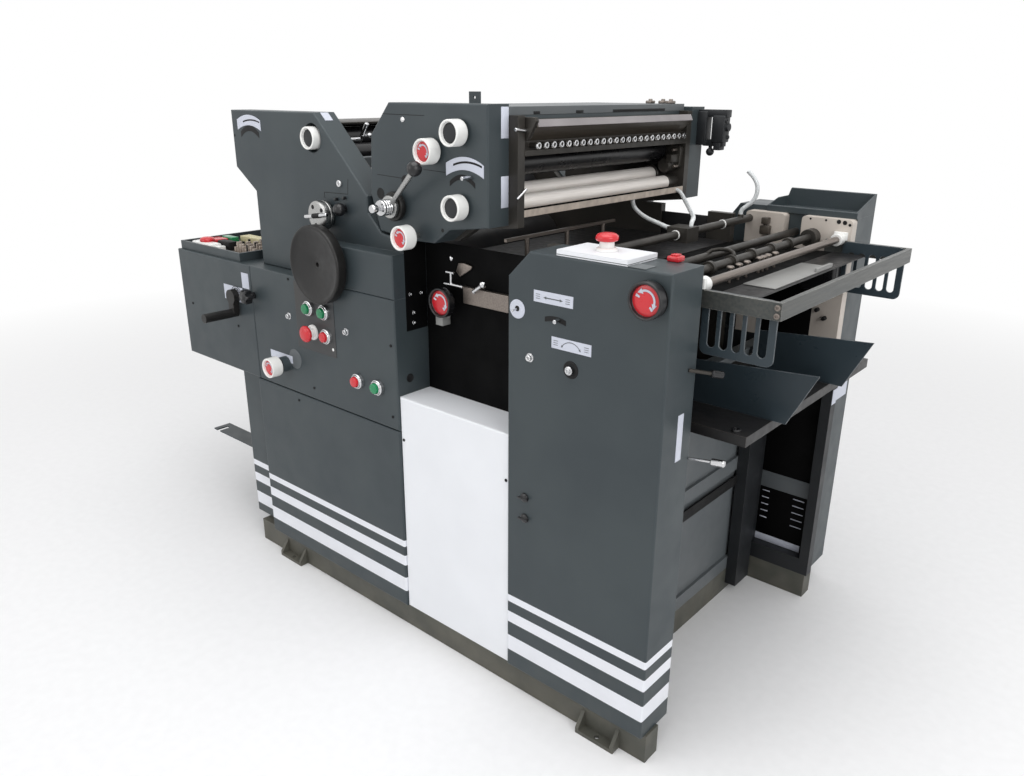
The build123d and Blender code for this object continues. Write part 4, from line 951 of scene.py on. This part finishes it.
# Left unit inside
Sketch().box((-640, frame_near, 1199), (-420, frame_far, 1203), 0.8).piece("left_unit_guard", dark_steel)
shape = Sketch().bar((-345, frame_near, 1166), (-345, -246, 1166), 5)
shape.bar((-349, -250, 1161), (-317, -250, 1204), 5)
shape.bar((-340, -250, 1176), (-312, -250, 1176), 3.5)
shape.ball((-311, -250, 1176), 6.5).piece("left_unit_lever", chrome)
slope_top = Vector((-343, 1230))
slope_way = Vector((0.7166, -0.6975))
slope_out = Vector((0.6975, 0.7166))
label_corners = [
    slope_top + slope_way * 1.5 + slope_out * 0.1, slope_top + slope_way * 26 + slope_out * 0.1,
    slope_top + slope_way * 26 + slope_out * 0.8, slope_top + slope_way * 1.5 + slope_out * 0.8,
]
Sketch().prism(label_corners, -366, -344).piece("left_unit_slope_label", label_white)

# Damp rollers and what holds them
bearing_length = 40
damp_rollers = [(150, 1082), (190, 1063)]
damp_radius = 17.3
damp_end = frame_gap - 3
profile = [(16, bearing_length), (damp_radius, bearing_length), (damp_radius, damp_end), (16, damp_end)]
shape = Sketch()
for x, z in damp_rollers:
    shape.lathe(profile, (x, frame_far, z), closed=True, sides=64)
shape.piece("damp_rollers", roller_steel_sheen)
shape = Sketch()
for (x, z), radius in zip(damp_rollers, (22, 19)):
    profile = [(16, 0.2), (radius, 0.2), (radius, 37), (radius - 2, 39), (16, 39)]
    shape.lathe(profile, (x, frame_far, z), closed=True)
outline = [(120, 1102), (215, 1096), (219, 1150), (185, 1156), (130, 1150)]
shape.prism(rounded(outline, 8), frame_far - 14, frame_far - 0.2, 1)
shape.lathe([(0, 44), (14, 44), (18, 41), (18, 14), (0, 14)], (190, frame_far, 1105))
shape.box((196, 268, 1112), (214, 300, 1132), 2).piece("far_roller_works", dark_steel)
shape = Sketch()
for x, z in ((206, 1142), (211, 1103), (170, 1110)):
    shape.bar((x, frame_far - 14, z), (x, frame_far - 32, z), 4)
shape.piece("far_roller_pins", dull_steel)

# Roof and fountain
Sketch().box((194, frame_near, 1212), (199.4, frame_far, 1234), 0.6).piece("roof_lip", slate)
shape = Sketch()
for near, far in ((-252, -232), (-112, -86), (24, 243)):
    shape.box((199.8, near, 1235), (200.6, far, 1240.5), 0.2)
shape.piece("roof_slots", black_matt)
shape = Sketch()
for x, y in ((118, 284), (146, 298), (174, 288)):
    shape.box((x, y, 1250), (x + 16, y + 22, 1257), 2)
    shape.cap_screw((x + 8, y + 11, 1257), up_way, 5, 4)
shape.piece("roof_clamps", dull_steel)
outline = [(245.3, 1212.6), (246.4, 1213.2), (239.8, 1226.8), (238.6, 1226.2)]
Sketch().prism(outline, -291, 300).piece("fountain_lip_strip", lip_grey)
outline = [(201, 1231), (247, 1231), (250, 1224), (233, 1195), (226, 1187), (201, 1187)]
Sketch().prism(outline, -304, -294.4, 0.8).piece("fountain_cheek", dark_steel)
key_count = 24
key_first = -276
key_pitch = 24.35
profile = [(3.6, 10.2), (3.6, 11.4), (6.2, 11.4), (6.7, 10.6), (6.7, 5), (6.1, 5), (6.1, 10.2)]
shape = Sketch()
for key in range(key_count):
    spot = (225, key_first + key * key_pitch, 1177.5)
    shape.lathe(profile, spot, right_way, sides=20, closed=True)
shape.piece("ink_key_heads", chrome)
shape = Sketch().bar((228, -340, 1209), (228, -290, 1205), 3.6)
shape.bar((226, -330, 1078), (228, -304, 1096), 2.6).piece("ink_frame_rods", chrome)

# Far bracket
shape = Sketch().box((224, 362, 1152), (249, 392, 1232), 1.5)
shape.box((224, 366, 1219), (303, 390, 1237), 2)
shape.box((265, 361, 1160), (299, 393, 1223), 3)
shape.box((240, 368, 1150), (296, 386, 1166), 1.5)
shape.box((272, 364, 1141), (290, 390, 1160), 1.5)
shape.bar((298, 377, 1196), (306, 377, 1196), 10)
shape.bar((258, 377, 1152), (258, 377, 1140), 4.5)
shape.ball((258, 377, 1136), 10)
for y, z in ((370, 1212), (385, 1172)):
    shape.cap_screw((299, y, z), right_way, 5, 3)
shape.piece("far_bracket_assembly", dark, stands_for=("far_bracket",))

# Feeder rods
rod_level = 960
shape = Sketch()
for y in (10, 223):
    shape.lathe([(9.1, 0), (10.8, 0.3), (10.8, 3.2), (9.1, 3.5)], (388, y, 985), closed=True)
shape.piece("rod_ties", white_gloss)
wheel_teeth = 40
wheel_outline = polar(558, rod_level, [19, 20] * wheel_teeth)
bent_route = [
    (497, -46, 967), (504, -40, 973), (520, -36, 977), (540, -40, 978), (556, -50, 976), (562, -58, 971),
]
shape = Sketch().prism(wheel_outline, 320, 346, 1)
shape.tube(bent_route, 4).piece("rod_wheel", dark_steel)
profile = [(8.1, 0), (13, 0), (14, 1), (14, 22), (13, 23), (8.1, 23)]
shape = Sketch()
for y in (-274, 357):
    shape.lathe(profile, (618, y, rod_level), closed=True)
for near, far in ((-306.5, -297.5), (357.5, 366.4)):
    shape.box((602.4, near, 956.5), (633.6, far, 975.6), 1.5)
shape.piece("silver_rod_clamps", white_gloss)

# Far frame plate, and painted shade in the gap over the tray
shelf_level = 890
Sketch().box((166.2, 318, shelf_level), (299.8, 330, 985), 1.2).piece("far_frame_plate", black_matt)
tray_low, tray_high = node_box("water_tray")
# A near-black strip on top of the tray lip: painted shade for the dark gap under the lower damp roller
gap_shade_low = (tray_high.x - 4, tray_low.y + 1, tray_high.z)
gap_shade_high = (tray_high.x, tray_high.y - 1, tray_high.z + 3.4)
Sketch().box(gap_shade_low, gap_shade_high, 0.6).piece("tray_gap_shade", deep_black)

# Feeder lower end
cabinet_end = 640
window_face = 393.2
wall_back = 394.6
shape = Sketch().on_side(rectangle(-375, -356, 654, 744), cabinet_end)
shape.on_side(rectangle(397, 490, 548, 584), cabinet_end)
shape.on_side(rectangle(368, 394, 553, 592), 650).piece("feeder_side_labels", label_white)
shape = Sketch().bar((cabinet_end, -326, 646), (690, -318, 650), 3)
shape.bar((682, -319.3, 649.4), (708, -315.5, 651.5), 7, 2).piece("feeder_side_lever", chrome)
Sketch().box((470, -225, 318), (473.6, 285, 345), 0.8).piece("cross_panel_bar", black_matt)
Sketch().box((485.2, window_face, 272), (624.8, wall_back, 318), 0.3).piece("window_bar", slate_pale_and_lit)
Sketch().box((485.2, 394.2, 110.2), (624.8, 394.9, 649.8), 0.2).piece("window_back_sheet", deep_black)
slit_first = 181
slit_pitch = 19.8
shape = Sketch()
for slit in range(5):
    z = slit_first + slit * slit_pitch
    shape.box((578, 393.6, z - 1.3), (609, wall_back, z + 1.3), 0.2)
    shape.box((492, 393.6, z - 1.3), (512, wall_back, z + 1.3), 0.2)
shape.box((485.4, window_face, 110.2), (612, wall_back, 130), 0.3).piece("window_slits", label_white)
Sketch().cap_screw((699, -264, 697), up_way, 9, 5).piece("table_bolt", black_gloss, "feed_table")

# Feeder bed, and painted shade on the far feeder wall
wall_face = 365.8
bed_top = 928
shape = Sketch().box((360.2, -297, bed_top - 10), (607.6, 357, bed_top), 0.8)
# The second box is a black sheet on the far wall's cream plate: painted shade where that plate lies in
# shadow
shape.box((440, 362.6, 700), (572, wall_face, 916), 0.8).piece("feeder_bed_and_wall_shade", deep_black)
profile = [(0, 34), (5, 33.6), (7.6, 31.6), (8, 29), (3, 28), (3, 0), (0, 0)]
shape = Sketch()
for y in (-106, -70, -35, 21, 40, 62, 96):
    shape.lathe(profile, (580, y, bed_top), up_way, sides=20)
shape.piece("bed_buttons", dull_steel)
shape = Sketch().box((610, -108, 929.2), (676, 170, 931.4), 0.6)
shape.box((670, 90, 931.4), (677, 170, 939), 0.6).piece("feed_sheet", grey_coat)

# Far feeder wall
shape = Sketch().box((548, 322, 838), (632, 365.6, 914), 8, 3)
shape.box((596, 330, 912), (622, 358, 922), 2).piece("feeder_valve_box", black_gloss)
shape = Sketch().box((423, 350, 951), (447, wall_face, 972), 2)
shape.box((427, 346, 976), (443, wall_face, 992), 2)
shape.bar((435, 356, 968), (435, 356, 980), 5).piece("feeder_wall_valve", fountain_brown)
hole_level = 365.9
holes = [(608, 997, 5), (622, 996, 5), (634, 992, 3.4), (541, 998, 2.4), (578, 998, 2.4)]
shape = Sketch()
for x, z, radius in holes:
    shape.prism(circle(x, z, radius, 20), 365.3, hole_level)
for x, z in ((587, 786), (606, 768)):
    shape.bar((x, hole_level, z), (x, 352, z), 5)
shape.piece("feeder_wall_holes", black_matt)

# Feeder end fittings
shape = Sketch()
for z in (947, 933):
    shape.cap_screw((768, -306, z), radius=5.2, rise=3.6)
shape.piece("arm_bolts", dull_steel)
Sketch().bar((cabinet_end, -352, 823), (668, -308, 811), 3.4).piece("cabinet_lever_rod", dark_steel)
Sketch().bar((664, -314, 812.5), (677, -293, 807), 7, 2).piece("cabinet_lever_grip", black_gloss)

# Cabinet top and access cover
cabinet_top = 1003
clip_top = 1013
shape = Sketch().box((574, -340, cabinet_top), (598, -316, clip_top), 3)
shape.box((579, -335, clip_top), (593, -321, 1016), 1.2).piece("cabinet_red_clip", red_gloss)
Sketch().box((551.6, -425, cabinet_top), (587, -392, 1004.4), 0.4).piece("cabinet_top_strip", slate_pale_and_lit)
shape = Sketch()
for x in (-36, 279):
    shape.cap_screw((x, -421, 518), radius=3.6, rise=1.6)
shape.piece("access_screws", black_matt)

# Stage and light
floor_size = 24.0
floor_level = -0.0005
fade_start = 1.5
fade_end = 4.2
floor_colour = srgb(246, 246, 247)
floor_shade = srgb(243, 243, 244)
floor_rough = 0.7
floor_gloss = 0.1
back_colour = (1.0, 1.0, 1.0, 1.0)
world_level = 0.62
lamps = {
    "overhead": ((0.4, -0.6, 3.6), (0.0, 0.0, 0.6), 3.2, 62.0),
    "right": ((3.6, -1.4, 2.2), (0.3, 0.0, 0.6), 2.2, 40.0),
    "front": ((-1.8, -3.8, 2.0), (-0.2, -0.3, 0.7), 2.4, 22.0),
}


def seen_by_eye(tree):
    """1 for rays that show the background: from the camera, off gloss, through clear stuff."""
    path = tree.nodes.new("ShaderNodeLightPath")
    total = path.outputs["Is Camera Ray"]
    for key in ("Is Glossy Ray", "Is Transmission Ray"):
        made = tree.nodes.new("ShaderNodeMath")
        made.operation = "MAXIMUM"
        tree.links.new(total, made.inputs[0])
        tree.links.new(path.outputs[key], made.inputs[1])
        total = made.outputs["Value"]
    return total


floor_mesh = bmesh.new()
bmesh.ops.create_grid(
    floor_mesh, x_segments=8, y_segments=8, size=floor_size / 2,
    matrix=Matrix.Translation((0.0, 0.0, floor_level)),
)
floor_data = bpy.data.meshes.new("floor")
floor_mesh.to_mesh(floor_data)
floor_mesh.free()
floor = add_object("floor", floor_data)
ground = Graph("ground")
speck = ground.spread(ground.noise(40, 4), 0.3, 0.7)
ground.fill(ground.shader, {
    "Base Color": ground.mix(speck, floor_colour, floor_shade), "Roughness": floor_rough,
    "Specular IOR Level": floor_gloss,
})
distance = ground.node("ShaderNodeVectorMath", {0: ground.coords}, operation="LENGTH")
fade = ground.spread(distance.outputs["Value"], fade_start, fade_end)
glow = ground.node("ShaderNodeEmission", {"Color": back_colour})
cover = ground.node("ShaderNodeMixShader", {
    0: ground.sum("MULTIPLY", fade, seen_by_eye(ground.tree)), 1: ground.shader.outputs["BSDF"],
    2: glow.outputs["Emission"],
})
ground.fill(ground.tree.nodes["Material Output"], {"Surface": cover.outputs["Shader"]})
floor.data.materials.append(ground.material)

world = bpy.data.worlds.new("studio")
scene.world = world
world.use_nodes = True
world_nodes = world.node_tree.nodes
world_links = world.node_tree.links
sky = world_nodes["Background"]
sky.inputs["Color"].default_value = back_colour
level_mix = world_nodes.new("ShaderNodeMapRange")
level_mix.inputs["To Min"].default_value = world_level
level_mix.inputs["To Max"].default_value = 1.0
world_links.new(seen_by_eye(world.node_tree), level_mix.inputs["Value"])
world_links.new(level_mix.outputs["Result"], sky.inputs["Strength"])

for name, (place, aim, size, power) in lamps.items():
    data = bpy.data.lights.new(name, "AREA")
    data.shape = "DISK"
    data.size = size
    data.energy = power
    lamp = add_object(name, data)
    lamp.location = place
    lamp.rotation_euler = (Vector(aim) - Vector(place)).to_track_quat("-Z", "Y").to_euler()

scene.view_settings.view_transform = "Standard"
